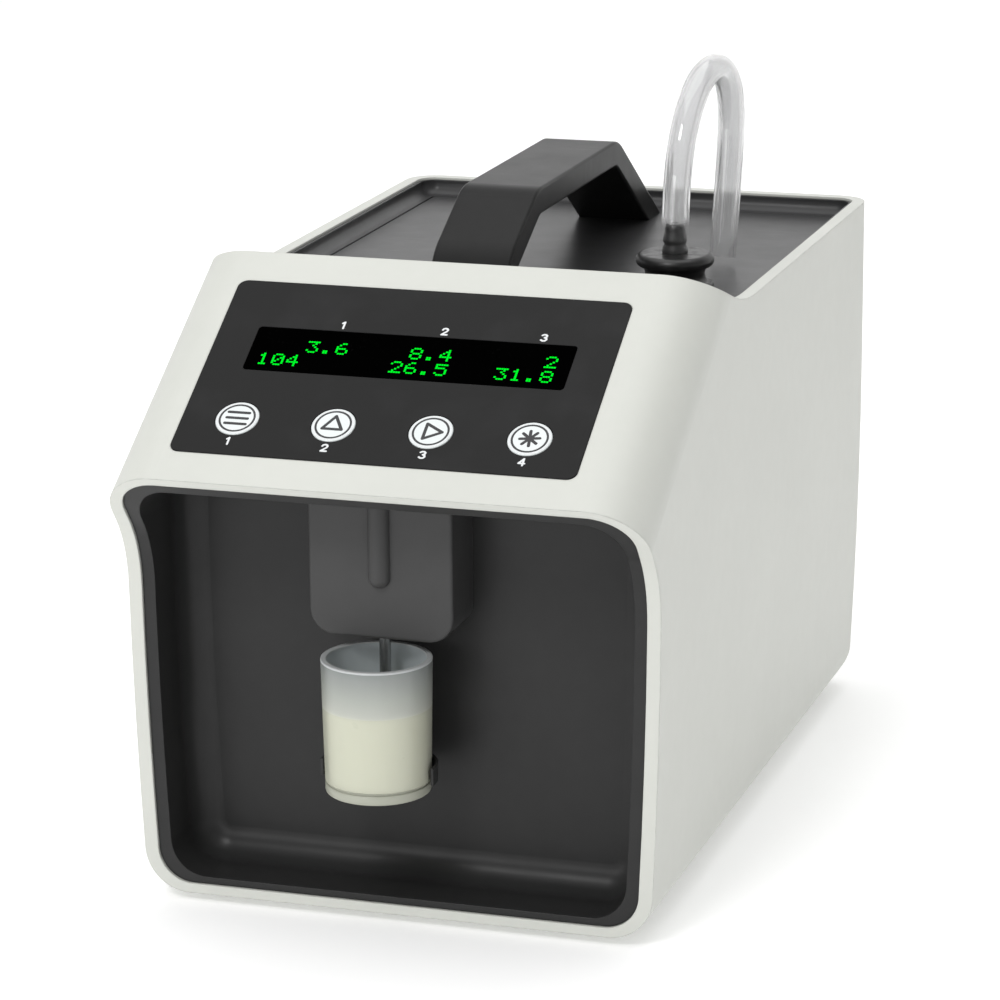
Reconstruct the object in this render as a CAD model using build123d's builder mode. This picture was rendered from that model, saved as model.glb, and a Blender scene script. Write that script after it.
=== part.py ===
from build123d import *
import math
import os

# Milk analyzer: an ivory moulded sleeve with a sloping control panel, a dark sampling recess in
# the lower front, a dark carrying tray with a bridge handle on top, and the sampling pump,
# ultrasonic measuring cell and electronics inside.
# X runs to the right of someone facing the front, the front faces -Y, and Z is up from the table.
# The origin is on the table, under the middle of the body.

os.makedirs("parts", exist_ok=True)

# Body, in millimetres. FRONT_Y is the flat lower part of the front, and BASE_Z the underside.
BODY_W = 190.0
BODY_D = 310.0
FRONT_Y = -142.8
REAR_Y = FRONT_Y + BODY_D
FOOT_H = 3.0
BASE_Z = FOOT_H
RIM_Z = BASE_Z + 198.0
SIDE_WALL = 4.8
THIN_WALL = 3.5
BOTTOM_NARROWING = 3.7
STRAIGHT_SIDE_Z = BASE_Z + 136.0
PANEL_CORNER_R = 20.0
FLOOR_CORNER_R = 16.0
REAR_CORNER_R = 12.0

# Side view of the front: the panel's lower and upper edges, and the curve under the brow.
BROW_Y = FRONT_Y - 24.4
BROW_Z = BASE_Z + 156.0
CREST_Y = FRONT_Y + 70.0
CREST_Z = BASE_Z + 214.8
BROW_CURVE_TOP = (FRONT_Y - 8.7, BASE_Z + 136.3)
BROW_CURVE_FOOT = (FRONT_Y, BASE_Z + 111.3)

SLOPE = math.atan2(CREST_Z - BROW_Z, CREST_Y - BROW_Y)
SLOPE_SIN = math.sin(SLOPE)
SLOPE_COS = math.cos(SLOPE)
PANEL_L = math.hypot(CREST_Y - BROW_Y, CREST_Z - BROW_Z)
# Behind the panel the side walls sweep down from the crest to the rim in one arc that ends here.
SWEEP_Y = FRONT_Y + 124.8
SWEEP_R = ((SWEEP_Y - CREST_Y) ** 2 + (CREST_Z - RIM_Z) ** 2) / (2 * (CREST_Z - RIM_Z))
# Back face of the web that closes the casing behind the panel.
CREST_FOOT_Y = CREST_Y + (CREST_Z - RIM_Z) * SLOPE_SIN / SLOPE_COS

# Panel plane: local x is X, local y climbs the slope, and offset() lifts along its normal.
PANEL = Plane(origin=(0, BROW_Y, BROW_Z), x_dir=(1, 0, 0), z_dir=(0, -SLOPE_SIN, SLOPE_COS))
# Plane square to the slope: local y is the panel's normal.
PANEL_SECTION = Plane(origin=(0, BROW_Y, BROW_Z), x_dir=(1, 0, 0), z_dir=(0, -SLOPE_COS, -SLOPE_SIN))
PANEL_MID_X = -2.0

# Overlay, display and keys, placed by their distance up the slope.
OVERLAY_W = 142.6
OVERLAY_LOW = 13.6
OVERLAY_HIGH = 96.4
OVERLAY_T = 0.8
OVERLAY_PROUD = 0.3
OVERLAY_CORNER_R = 3.5
WINDOW_W = 114.2
WINDOW_LOW = 53.4
WINDOW_HIGH = 74.2
WINDOW_GAP = 0.15
KEY_PITCH = 34.4
KEY_UP = 30.2
KEY_R = 7.6
KEY_GAP = 0.25
KEY_T = 2.0
KEY_TRAVEL = 0.6
KEY_PROUD = 0.2
KEY_STEM_R = 2.4

# Sampling recess.
RECESS_BACK_Y = FRONT_Y + 27.0
RECESS_FLOOR_Z = BASE_Z + 6.1
RECESS_CEILING_Z = BASE_Z + 150.0
RECESS_SIDE = 9.4
RECESS_CORNER_R = 13.0
RECESS_COVE_R = 10.0
RECESS_SHELL = 2.2
INSERT_SETBACK = 1.0
INSERT_GAP = 0.2

# Sampler, needle and cup share one axis line at SAMPLER_X.
SAMPLER_X = -5.0
SAMPLER_W = 51.4
SAMPLER_FACE_Y = FRONT_Y + 4.5
SAMPLER_BOTTOM_Z = BASE_Z + 97.5
SAMPLER_CORNER_R = 9.0
RIB_R = 3.9
RIB_UP = 22.0
NEEDLE_Y = FRONT_Y + 9.0
NEEDLE_R = 2.0
NEEDLE_BORE_R = 1.2
NEEDLE_TIP_Z = BASE_Z + 58.0
NEEDLE_TOP_Z = BASE_Z + 158.0
CUP_Y = FRONT_Y
CUP_RIM_R = 19.05
CUP_BASE_R = 18.1
CUP_WALL = 1.5
CUP_BOTTOM_Z = BASE_Z + 45.4
CUP_TOP_Z = BASE_Z + 92.7
CUP_FLOOR_Z = CUP_BOTTOM_Z + 4.4
MILK_TOP_Z = BASE_Z + 76.0
MILK_GAP = 0.05
CLIP_R = 19.4
CLIP_T = 1.0
CLIP_LOW_Z = BASE_Z + 49.0
CLIP_H = 6.0
CLIP_REACH = 95.0

# Tray, handle and hose port.
TRAY_TOP_Z = RIM_Z - 6.5
TRAY_T = 3.2
TRAY_GAP = 0.2
TRAY_BORDER = 6.0
TRAY_STEP = 1.0
STRIP_TOP_Z = RIM_Z - 0.8
STRIP_EDGE = 1.2
STRIP_COVE_R = 4.5
HANDLE_W = 29.0
HANDLE_TOP_Z = BASE_Z + 231.0
HANDLE_T = 9.7
HANDLE_BEND_R = 16.0
HANDLE_EDGE_R = 1.0
PORT_X = 57.2
PORT_Y = 11.8
PORT_FLANGE_R = 14.3
HOSE_OD = 10.0
HOSE_ID = 6.4
HOSE_FOOT_Z = TRAY_TOP_Z + 13.0

# Inside. The sample tubing is one size throughout, and slides over spigots of its bore.
FLOOR_Z = BASE_Z + THIN_WALL
CHASSIS_T = 1.5
CHASSIS_TOP_Z = FLOOR_Z + CHASSIS_T
TUBE_OD = 6.0
TUBE_ID = 4.0
SPIGOT_BORE_R = 1.2
PUMP_X = 35.0
PUMP_Z = BASE_Z + 62.0
PUMP_BACK_Y = FRONT_Y + 195.0
PUMP_DEPTH = 17.0
PUMP_MID_Y = PUMP_BACK_Y - 9.5
LOOP_R = 23.3
ROLLER_ORBIT_R = 13.5
ROLLER_R = 6.3
CELL_X = -40.0
CELL_Y = FRONT_Y + 105.0
CELL_L = 60.0
CELL_LOW_Z = BASE_Z + 52.0
CELL_H = 24.0
FAR = 400.0


def finish(part, name):
    """Labels a finished piece and writes it under its node name."""
    part.label = name
    export_step(part, f"parts/{name}.step")


def half_width(z):
    """Outer half width of the body at a height below the straight part of its sides."""
    drop = (STRAIGHT_SIDE_Z - z) / (STRAIGHT_SIDE_Z - BASE_Z)
    return BODY_W / 2 - BOTTOM_NARROWING * max(drop, 0.0) ** 2


def front_view(side, floor, corner_r):
    """Front view of the body drawn in by side and floor, standing far taller than the body."""
    top = BODY_W / 2 - side
    bottom = half_width(BASE_Z) - side
    middle_z = (STRAIGHT_SIDE_Z + BASE_Z) / 2
    middle = half_width(middle_z) - side
    low = BASE_Z + floor
    with BuildSketch(Plane.XZ) as view:
        with BuildLine():
            Polyline((bottom, low), (-bottom, low))
            ThreePointArc((-bottom, low), (-middle, middle_z), (-top, STRAIGHT_SIDE_Z))
            Polyline((-top, STRAIGHT_SIDE_Z), (-top, FAR), (top, FAR), (top, STRAIGHT_SIDE_Z))
            ThreePointArc((top, STRAIGHT_SIDE_Z), (middle, middle_z), (bottom, low))
        make_face()
        fillet(view.vertices().group_by(Axis.Y)[0], corner_r)
    return view.sketch


def body_form(outline, side, thin):
    """Solid with the given side view and the body's section, drawn in by its walls."""
    section = front_view(side, thin, FLOOR_CORNER_R - thin)
    with BuildPart() as form:
        extrude(outline, amount=BODY_W, both=True)
        extrude(section, amount=FAR, both=True, mode=Mode.INTERSECT)
        with BuildSketch(PANEL_SECTION):
            with Locations((0, -thin - FAR / 2)):
                RectangleRounded(BODY_W - 2 * side, FAR, PANEL_CORNER_R - side)
        extrude(amount=FAR, both=True, mode=Mode.INTERSECT)
    return form.part


def round_rear(form, rear_y, radius):
    """Rounds the two upright rear corners of a solid whose back lies at rear_y."""
    rear = form.edges().filter_by_position(Axis.Y, rear_y - 0.1, rear_y + 0.1)
    corners = [edge for edge in rear if abs(edge.center().X) > BODY_W / 2 - 10 and edge.length > 50]
    return fillet(corners, radius)


def screws(plane, spots, shank_r, shank_l, head_r, head_h):
    """Pan-head screws with their heads' undersides on a plane, driven against its normal."""
    with BuildPart() as group:
        for spot in spots:
            with BuildSketch(plane):
                with Locations(spot):
                    Circle(head_r)
            extrude(amount=head_h)
            with BuildSketch(plane):
                with Locations(spot):
                    Circle(shank_r)
            extrude(amount=-shank_l)
            with BuildSketch(plane.offset(head_h)):
                with Locations(spot):
                    Rectangle(head_r * 1.3, head_r * 0.25)
                    Rectangle(head_r * 0.25, head_r * 1.3)
            extrude(amount=-head_h * 0.5, mode=Mode.SUBTRACT)
    return group.part


def tube(route, outer_r, bore_r):
    """Tube swept along a route, with its bore left open at both ends."""
    with BuildPart() as swept:
        with BuildSketch(Plane(origin=route @ 0, z_dir=route % 0)):
            Circle(outer_r)
            Circle(bore_r, mode=Mode.SUBTRACT)
        sweep(path=route)
    return swept.part


def smooth_route(points, name):
    """Straight runs joined by arcs that take up less than half of the shorter run beside them."""
    radii = []
    for before, here, after in zip(points, points[1:], points[2:]):
        into = Vector(*here) - Vector(*before)
        out = Vector(*after) - Vector(*here)
        turn = math.radians(into.get_angle(out))
        radii.append(0.45 * min(into.length, out.length) / math.tan(turn / 2))
    with BuildLine() as route:
        FilletPolyline(*points, radius=radii)
    wire = route.wire()
    print(name, "bend radii", [round(r, 1) for r in radii], "length", round(wire.length, 1))
    return wire


def front_band(near, far):
    """Side view of a band behind the front's curve, from one distance behind it to another."""
    tail_z = BROW_Z + 6.0
    tail_y = BROW_Y - (tail_z - BROW_Z) * (BROW_CURVE_TOP[0] - BROW_Y) / (BROW_Z - BROW_CURVE_TOP[1])
    with BuildSketch(Plane.YZ) as band:
        with BuildLine():
            Line((FRONT_Y + near, BASE_Z), (FRONT_Y + near, BROW_CURVE_FOOT[1]))
            TangentArc((FRONT_Y + near, BROW_CURVE_FOOT[1]),
                       (BROW_CURVE_TOP[0] + near, BROW_CURVE_TOP[1]), tangent=(0, 1))
            Polyline((BROW_CURVE_TOP[0] + near, BROW_CURVE_TOP[1]), (tail_y + near, tail_z),
                     (tail_y + far, tail_z), (BROW_CURVE_TOP[0] + far, BROW_CURVE_TOP[1]))
            TangentArc((FRONT_Y + far, BROW_CURVE_FOOT[1]),
                       (BROW_CURVE_TOP[0] + far, BROW_CURVE_TOP[1]), tangent=(0, 1))
            Polyline((FRONT_Y + far, BROW_CURVE_FOOT[1]), (FRONT_Y + far, BASE_Z),
                     (FRONT_Y + near, BASE_Z))
        make_face()
    return band.sketch


# Casing

with BuildSketch(Plane.YZ) as outer_view:
    with BuildLine():
        Polyline(BROW_CURVE_FOOT, (FRONT_Y, BASE_Z), (REAR_Y, BASE_Z), (REAR_Y, RIM_Z), (SWEEP_Y, RIM_Z))
        TangentArc((SWEEP_Y, RIM_Z), (CREST_Y, CREST_Z), tangent=(-1, 0))
        Polyline((CREST_Y, CREST_Z), (BROW_Y, BROW_Z), BROW_CURVE_TOP)
        TangentArc(BROW_CURVE_FOOT, BROW_CURVE_TOP, tangent=(0, 1))
    make_face()

# The cavity runs out through the front and the open top, and leaves a web behind the panel.
WEB_T = 3.5
WEB_FOOT_Z = RIM_Z - 14.0
web_y = CREST_FOOT_Y - WEB_T
web_run = SWEEP_Y - web_y
web_rise = SWEEP_R - math.sqrt(SWEEP_R ** 2 - web_run ** 2)
# The cavity's top behind the panel runs below the sweep by the web's thickness.
web_bend = (web_y, RIM_Z + web_rise - WEB_T)
web_slope = web_run / (SWEEP_R - web_rise)
web_top = (web_y - 20.0, web_bend[1] + 20.0 * web_slope)
with BuildSketch(Plane.YZ) as cavity_view:
    with BuildLine():
        Polyline((BROW_Y - 40, BASE_Z), (REAR_Y - SIDE_WALL, BASE_Z), (REAR_Y - SIDE_WALL, FAR),
                 (CREST_FOOT_Y, FAR), (CREST_FOOT_Y, WEB_FOOT_Z), (CREST_FOOT_Y - WEB_T, WEB_FOOT_Z),
                 web_bend, web_top, (BROW_Y - 40, web_top[1]), close=True)
    make_face()

outer_form = round_rear(body_form(outer_view.sketch, 0, 0), REAR_Y, REAR_CORNER_R)
cavity_form = round_rear(body_form(cavity_view.sketch, SIDE_WALL, THIN_WALL), REAR_Y - SIDE_WALL,
                         REAR_CORNER_R - SIDE_WALL)

KEY_XS = [PANEL_MID_X + KEY_PITCH * (i - 1.5) for i in range(4)]
KEY_SPOTS = [(x, KEY_UP) for x in KEY_XS]
OVERLAY_MID = (OVERLAY_LOW + OVERLAY_HIGH) / 2
OVERLAY_H = OVERLAY_HIGH - OVERLAY_LOW
WINDOW_MID = (WINDOW_LOW + WINDOW_HIGH) / 2
WINDOW_H = WINDOW_HIGH - WINDOW_LOW
WINDOW_SEAT = 2.0
REBATE_D = OVERLAY_T - OVERLAY_PROUD
KEY_TOP = OVERLAY_PROUD + KEY_PROUD
KEY_POCKET_D = KEY_T - KEY_TOP + KEY_TRAVEL + 0.4
KEYPAD_TOP = 7.9
DISPLAY_BACK = 11.7
DISPLAY_FRAME = (117.0, 34.0)
DISPLAY_BOARD = (134.0, 40.0)
KEYPAD_BOARD = (124.0, 20.0)
SWITCH_SIDE = 6.0
SWITCH_BASE_H = 1.4
SWITCH_PLUNGER_R = 1.7
BOARD_T = 1.6
BOSS_R = 3.0
BOSS_BORE_R = 1.2
KEYPAD_SCREWS = [(PANEL_MID_X + side * KEY_PITCH, KEY_UP) for side in (-1, 1)]
DISPLAY_SCREWS = [(PANEL_MID_X + side * 63.5, WINDOW_MID + up) for side in (-1, 1) for up in (-15, 15)]

FOOT_SPOTS = [(side * 62, y) for side in (-1, 1) for y in (FRONT_Y + 45, REAR_Y - 28)]
FOOT_HOLE_R = 2.2
FOOT_SCREW_HEAD_H = 1.6
M3_R = 1.5
M3_HEAD_R = 2.8
M3_HEAD_H = 1.8
RECESS_SCREW_SPOTS = [(side * 48, FRONT_Y + 35) for side in (-1, 1)]
SERVICE_W = 118.0
SERVICE_H = 58.0
SERVICE_Z = BASE_Z + 66.0
SERVICE_SEAT = 3.0
SERVICE_T = 1.5
SERVICE_SCREWS = [(side * 53, SERVICE_Z + up) for side in (-1, 1) for up in (-23, 23)]
LEDGE_W = 4.0
LEDGE_T = 3.0
TRAY_LOW_Z = TRAY_TOP_Z - TRAY_T
TRAY_FRONT_Y = CREST_FOOT_Y + TRAY_GAP
TRAY_REAR_Y = REAR_Y - SIDE_WALL - TRAY_GAP
TRAY_MID_Y = (TRAY_FRONT_Y + TRAY_REAR_Y) / 2
TRAY_HALF_W = BODY_W / 2 - SIDE_WALL - TRAY_GAP

with BuildPart() as casing:
    add(outer_form)
    add(cavity_form, mode=Mode.SUBTRACT)
    # Ledges that carry the tray.
    with BuildSketch(Plane.XY.offset(TRAY_LOW_Z)):
        for side in (-1, 1):
            with Locations((side * (BODY_W / 2 - SIDE_WALL - LEDGE_W / 2 + 0.5), TRAY_MID_Y)):
                Rectangle(LEDGE_W + 1, TRAY_REAR_Y - TRAY_FRONT_Y - 26)
    extrude(amount=-LEDGE_T)
    # Bosses behind the panel for the keypad board and the display.
    with BuildSketch(PANEL.offset(-THIN_WALL + 0.5)):
        with Locations(*KEYPAD_SCREWS):
            Circle(BOSS_R)
    extrude(amount=THIN_WALL - 0.5 - KEYPAD_TOP)
    with BuildSketch(PANEL.offset(-THIN_WALL + 0.5)):
        with Locations(*DISPLAY_SCREWS):
            Circle(BOSS_R)
    extrude(amount=THIN_WALL - 0.5 - DISPLAY_BACK)
    with BuildSketch(PANEL.offset(-THIN_WALL)):
        with Locations(*KEYPAD_SCREWS, *DISPLAY_SCREWS):
            Circle(BOSS_BORE_R)
    extrude(amount=-2 * THIN_WALL - DISPLAY_BACK, mode=Mode.SUBTRACT)
    # Rebate for the overlay, with the display opening and the pockets and stem holes of the keys.
    with BuildSketch(PANEL.offset(1)):
        with Locations((PANEL_MID_X, OVERLAY_MID)):
            RectangleRounded(OVERLAY_W + 0.3, OVERLAY_H + 0.3, OVERLAY_CORNER_R)
    extrude(amount=-1 - REBATE_D, mode=Mode.SUBTRACT)
    with BuildSketch(PANEL):
        with Locations((PANEL_MID_X, WINDOW_MID)):
            RectangleRounded(WINDOW_W + 2 * WINDOW_GAP, WINDOW_H + 2 * WINDOW_GAP, 1.5)
    extrude(amount=-WINDOW_SEAT, mode=Mode.SUBTRACT)
    with BuildSketch(PANEL):
        with Locations((PANEL_MID_X, WINDOW_MID)):
            RectangleRounded(WINDOW_W - 5, WINDOW_H - 4, 1.5)
    extrude(amount=-2 * THIN_WALL, mode=Mode.SUBTRACT)
    with BuildSketch(PANEL):
        with Locations(*KEY_SPOTS):
            Circle(KEY_R + 0.6)
    extrude(amount=-KEY_POCKET_D, mode=Mode.SUBTRACT)
    with BuildSketch(PANEL):
        with Locations(*KEY_SPOTS):
            Circle(KEY_STEM_R + 0.3)
    extrude(amount=-2 * THIN_WALL, mode=Mode.SUBTRACT)
    # Holes in the floor for the screws of the feet and of the recess.
    with BuildSketch(Plane.XY.offset(BASE_Z)):
        with Locations(*FOOT_SPOTS):
            Circle(FOOT_HOLE_R)
        with Locations(*RECESS_SCREW_SPOTS):
            Circle(1.6)
    extrude(amount=THIN_WALL + 0.5, mode=Mode.SUBTRACT)
    # Service window in the rear wall, with a seat and screw holes for its plate.
    with BuildSketch(Plane.XZ.offset(-REAR_Y)):
        with Locations((0, SERVICE_Z)):
            RectangleRounded(SERVICE_W, SERVICE_H, 4)
    extrude(amount=SERVICE_SEAT, mode=Mode.SUBTRACT)
    with BuildSketch(Plane.XZ.offset(-REAR_Y)):
        with Locations((0, SERVICE_Z)):
            RectangleRounded(SERVICE_W - 24, SERVICE_H - 6, 3)
        with Locations(*SERVICE_SCREWS):
            Circle(1.3)
    extrude(amount=SIDE_WALL + 1, mode=Mode.SUBTRACT)
finish(casing.part, "casing")

# Recess insert

BACK_SCREW_XS = (SAMPLER_X - 15, SAMPLER_X + 15)
BACK_SCREW_Z = BASE_Z + 128.0
CLIP_MID_Z = CLIP_LOW_Z + CLIP_H / 2
BACK_SCREWS = [(x, BACK_SCREW_Z) for x in BACK_SCREW_XS] + [(SAMPLER_X, CLIP_MID_Z)]
RECESS_OUT_Y = RECESS_BACK_Y + RECESS_SHELL


def recess_form(grow, back_y, cove_r):
    """Recess cavity grown on every side, running out through the front."""
    view = front_view(RECESS_SIDE - grow, RECESS_FLOOR_Z - BASE_Z - grow, RECESS_CORNER_R + grow)
    with BuildPart() as form:
        extrude(view, amount=FAR, both=True)
        with Locations((0, BROW_Y - 20, 0)):
            Box(BODY_W, back_y - BROW_Y + 20, 2 * (RECESS_CEILING_Z + grow),
                align=(Align.CENTER, Align.MIN, Align.CENTER), mode=Mode.INTERSECT)
        rim = form.edges().filter_by_position(Axis.Z, RECESS_CEILING_Z, RECESS_CEILING_Z + 2 * RECESS_SHELL)
        upper = rim.filter_by(Axis.Y)
        fillet(upper, RECESS_CORNER_R + grow)
        back = form.edges().filter_by_position(Axis.Y, back_y - 0.1, back_y + 0.1)
        cove = [edge for edge in back if edge.center().Z < RECESS_CEILING_Z - 40]
        if cove_r > 0:
            fillet(cove, cove_r)
    return form.part


band_plate = body_form(front_band(INSERT_SETBACK, INSERT_SETBACK + 2.5), SIDE_WALL + INSERT_GAP,
                       THIN_WALL + INSERT_GAP)
with BuildPart() as behind_band:
    extrude(front_band(INSERT_SETBACK, 80), amount=BODY_W, both=True)

with BuildPart() as front_recess:
    add(recess_form(RECESS_SHELL, RECESS_OUT_Y, 0))
    add(behind_band.part, mode=Mode.INTERSECT)
    add(band_plate)
    # Tabs behind the back wall take the screws from below.
    with BuildSketch(Plane.XY.offset(RECESS_FLOOR_Z - RECESS_SHELL)):
        for x, y in RECESS_SCREW_SPOTS:
            with Locations((x, y - 1.5)):
                Rectangle(14, 11)
    extrude(amount=6)
    add(recess_form(0, RECESS_BACK_Y, RECESS_COVE_R), mode=Mode.SUBTRACT)
    with BuildSketch(Plane.XY):
        with Locations(*RECESS_SCREW_SPOTS):
            Circle(1.55)
    extrude(amount=RECESS_FLOOR_Z + 3, mode=Mode.SUBTRACT)
    with BuildSketch(Plane.XZ.offset(-RECESS_OUT_Y)):
        with Locations(*BACK_SCREWS):
            Circle(1.7)
    extrude(amount=RECESS_SHELL, mode=Mode.SUBTRACT)
    with BuildSketch(Plane.XY.offset(RECESS_CEILING_Z - 1)):
        with Locations((SAMPLER_X, NEEDLE_Y)):
            Circle(NEEDLE_R + 0.1)
    extrude(amount=RECESS_SHELL + 2, mode=Mode.SUBTRACT)
finish(front_recess.part, "front_recess")

finish(screws(Plane.XY.offset(BASE_Z).rotated((180, 0, 0)), [(x, -y) for x, y in RECESS_SCREW_SPOTS],
              M3_R, THIN_WALL + 5, M3_HEAD_R, FOOT_SCREW_HEAD_H), "recess_screws")

with BuildPart() as sampler_block:
    with BuildSketch(Plane.XZ.offset(-SAMPLER_FACE_Y)) as block_view:
        with Locations((SAMPLER_X + 0.2, (RECESS_CEILING_Z + SAMPLER_BOTTOM_Z) / 2)):
            Rectangle(SAMPLER_W, RECESS_CEILING_Z - SAMPLER_BOTTOM_Z)
        fillet(block_view.vertices().group_by(Axis.Y)[0], SAMPLER_CORNER_R)
    extrude(amount=-(RECESS_BACK_Y - SAMPLER_FACE_Y))
    front_rim = sampler_block.faces().sort_by(Axis.Y)[0].edges()
    fillet([edge for edge in front_rim if edge.center().Z < RECESS_CEILING_Z - 1], 1.2)
    # The upper back edge follows the recess's rounded inner corner.
    upper_back = sampler_block.edges().filter_by_position(Axis.Y, RECESS_BACK_Y - 0.1, RECESS_BACK_Y + 0.1)
    fillet(upper_back.sort_by(Axis.Z)[-1], RECESS_COVE_R + 0.2)
    # Half-round rib over the needle.
    rib_foot = SAMPLER_BOTTOM_Z + RIB_UP
    with BuildSketch(Plane.XY.offset(RECESS_CEILING_Z)):
        with Locations((SAMPLER_X, SAMPLER_FACE_Y)):
            Circle(RIB_R)
    extrude(amount=rib_foot - RECESS_CEILING_Z)
    with Locations((SAMPLER_X, SAMPLER_FACE_Y, rib_foot)):
        Sphere(RIB_R)
    with BuildSketch(Plane.XY.offset(RECESS_CEILING_Z)):
        with Locations((SAMPLER_X, NEEDLE_Y)):
            Circle(NEEDLE_R)
    extrude(amount=SAMPLER_BOTTOM_Z - RECESS_CEILING_Z - 1, mode=Mode.SUBTRACT)
    with BuildSketch(Plane.XZ.offset(-RECESS_BACK_Y)):
        with Locations(*[(x, BACK_SCREW_Z) for x in BACK_SCREW_XS]):
            Circle(1.5)
    extrude(amount=10, mode=Mode.SUBTRACT)
finish(sampler_block.part, "sampler_block")

with BuildPart() as cup_clip:
    with BuildSketch(Plane.XY.offset(CLIP_LOW_Z)) as clip_view:
        with Locations((SAMPLER_X, CUP_Y)):
            Circle(CLIP_R + CLIP_T)
            Circle(CLIP_R, mode=Mode.SUBTRACT)
        # The front of the ring is left open.
        with BuildLine():
            reach_x = 60 * math.sin(math.radians(CLIP_REACH))
            reach_y = 60 * math.cos(math.radians(CLIP_REACH))
            Polyline((SAMPLER_X, CUP_Y), (SAMPLER_X - reach_x, CUP_Y + reach_y), (SAMPLER_X - 60, CUP_Y - 60),
                     (SAMPLER_X + 60, CUP_Y - 60), (SAMPLER_X + reach_x, CUP_Y + reach_y), close=True)
        make_face(mode=Mode.SUBTRACT)
        neck = RECESS_BACK_Y - CUP_Y - CLIP_R - 0.5
        with Locations((SAMPLER_X, RECESS_BACK_Y - neck / 2)):
            Rectangle(12, neck)
    extrude(amount=CLIP_H)
    with BuildSketch(Plane.XZ.offset(-RECESS_BACK_Y)):
        with Locations((SAMPLER_X, CLIP_MID_Z)):
            Circle(1.5)
    extrude(amount=neck - 2.5, mode=Mode.SUBTRACT)
finish(cup_clip.part, "cup_clip")

# The clip's screw is shorter than the sampler's two.
with BuildPart() as back_screws:
    add(screws(Plane.XZ.offset(-RECESS_OUT_Y), [(x, BACK_SCREW_Z) for x in BACK_SCREW_XS],
               M3_R, -10, M3_HEAD_R, -M3_HEAD_H))
    add(screws(Plane.XZ.offset(-RECESS_OUT_Y), [(SAMPLER_X, CLIP_MID_Z)], M3_R, -6.5, M3_HEAD_R, -M3_HEAD_H))
finish(back_screws.part, "recess_back_screws")

# Needle, elbow, cup and milk

with BuildPart() as sampling_needle:
    with BuildSketch(Plane.XY.offset(NEEDLE_TIP_Z)):
        with Locations((SAMPLER_X, NEEDLE_Y)):
            Circle(NEEDLE_R)
            Circle(NEEDLE_BORE_R, mode=Mode.SUBTRACT)
    extrude(amount=NEEDLE_TOP_Z - NEEDLE_TIP_Z)
finish(sampling_needle.part, "sampling_needle")

ELBOW_Z = RECESS_CEILING_Z + RECESS_SHELL
SPIGOT_Z = ELBOW_Z + 5.2
ELBOW_BACK_Y = NEEDLE_Y + 4.5
with BuildPart() as needle_elbow:
    with Locations((SAMPLER_X, NEEDLE_Y, ELBOW_Z + 4.4)):
        Box(9, 9, 8.8)
    fillet(needle_elbow.edges().filter_by(Axis.Z), 1.5)
    with BuildSketch(Plane.XZ.offset(-ELBOW_BACK_Y)):
        with Locations((SAMPLER_X, SPIGOT_Z)):
            Circle(TUBE_ID / 2)
    extrude(amount=-7)
    with BuildSketch(Plane.XY.offset(ELBOW_Z)):
        with Locations((SAMPLER_X, NEEDLE_Y)):
            Circle(NEEDLE_R)
    extrude(amount=NEEDLE_TOP_Z - ELBOW_Z, mode=Mode.SUBTRACT)
    with BuildSketch(Plane.XY.offset(ELBOW_Z)):
        with Locations((SAMPLER_X, NEEDLE_Y)):
            Circle(NEEDLE_BORE_R)
    extrude(amount=SPIGOT_Z - ELBOW_Z, mode=Mode.SUBTRACT)
    with BuildSketch(Plane.XZ.offset(-ELBOW_BACK_Y - 7)):
        with Locations((SAMPLER_X, SPIGOT_Z)):
            Circle(SPIGOT_BORE_R)
    extrude(amount=7 + 4.5, mode=Mode.SUBTRACT)
finish(needle_elbow.part, "needle_elbow")


def cup_radius(z):
    """Outer radius of the cup at a height."""
    return CUP_BASE_R + (CUP_RIM_R - CUP_BASE_R) * (z - CUP_BOTTOM_Z) / (CUP_TOP_Z - CUP_BOTTOM_Z)


cup_plane = Plane(origin=(SAMPLER_X, CUP_Y, 0), x_dir=(1, 0, 0), z_dir=(0, -1, 0))
with BuildPart() as sample_cup:
    with BuildSketch(cup_plane):
        with BuildLine():
            base_r = cup_radius(CUP_BOTTOM_Z)
            groove_z = CUP_BOTTOM_Z + 3.2
            Polyline((0, CUP_BOTTOM_Z + 1.6), (base_r - 2.4, CUP_BOTTOM_Z + 1.6),
                     (base_r - 2.4, CUP_BOTTOM_Z), (base_r - 0.5, CUP_BOTTOM_Z), (base_r, CUP_BOTTOM_Z + 0.5), (base_r, groove_z),
                     (base_r - 0.6, groove_z + 0.5), (cup_radius(groove_z + 1) - 0.1, groove_z + 1.2),
                     (CUP_RIM_R, CUP_TOP_Z - 0.4), (CUP_RIM_R - 0.4, CUP_TOP_Z),
                     (CUP_RIM_R - CUP_WALL + 0.4, CUP_TOP_Z), (CUP_RIM_R - CUP_WALL, CUP_TOP_Z - 0.4),
                     (cup_radius(CUP_FLOOR_Z) - CUP_WALL, CUP_FLOOR_Z), (0, CUP_FLOOR_Z), close=True)
        make_face()
    revolve(axis=Axis((SAMPLER_X, CUP_Y, 0), (0, 0, 1)))
finish(sample_cup.part, "sample_cup")

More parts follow.
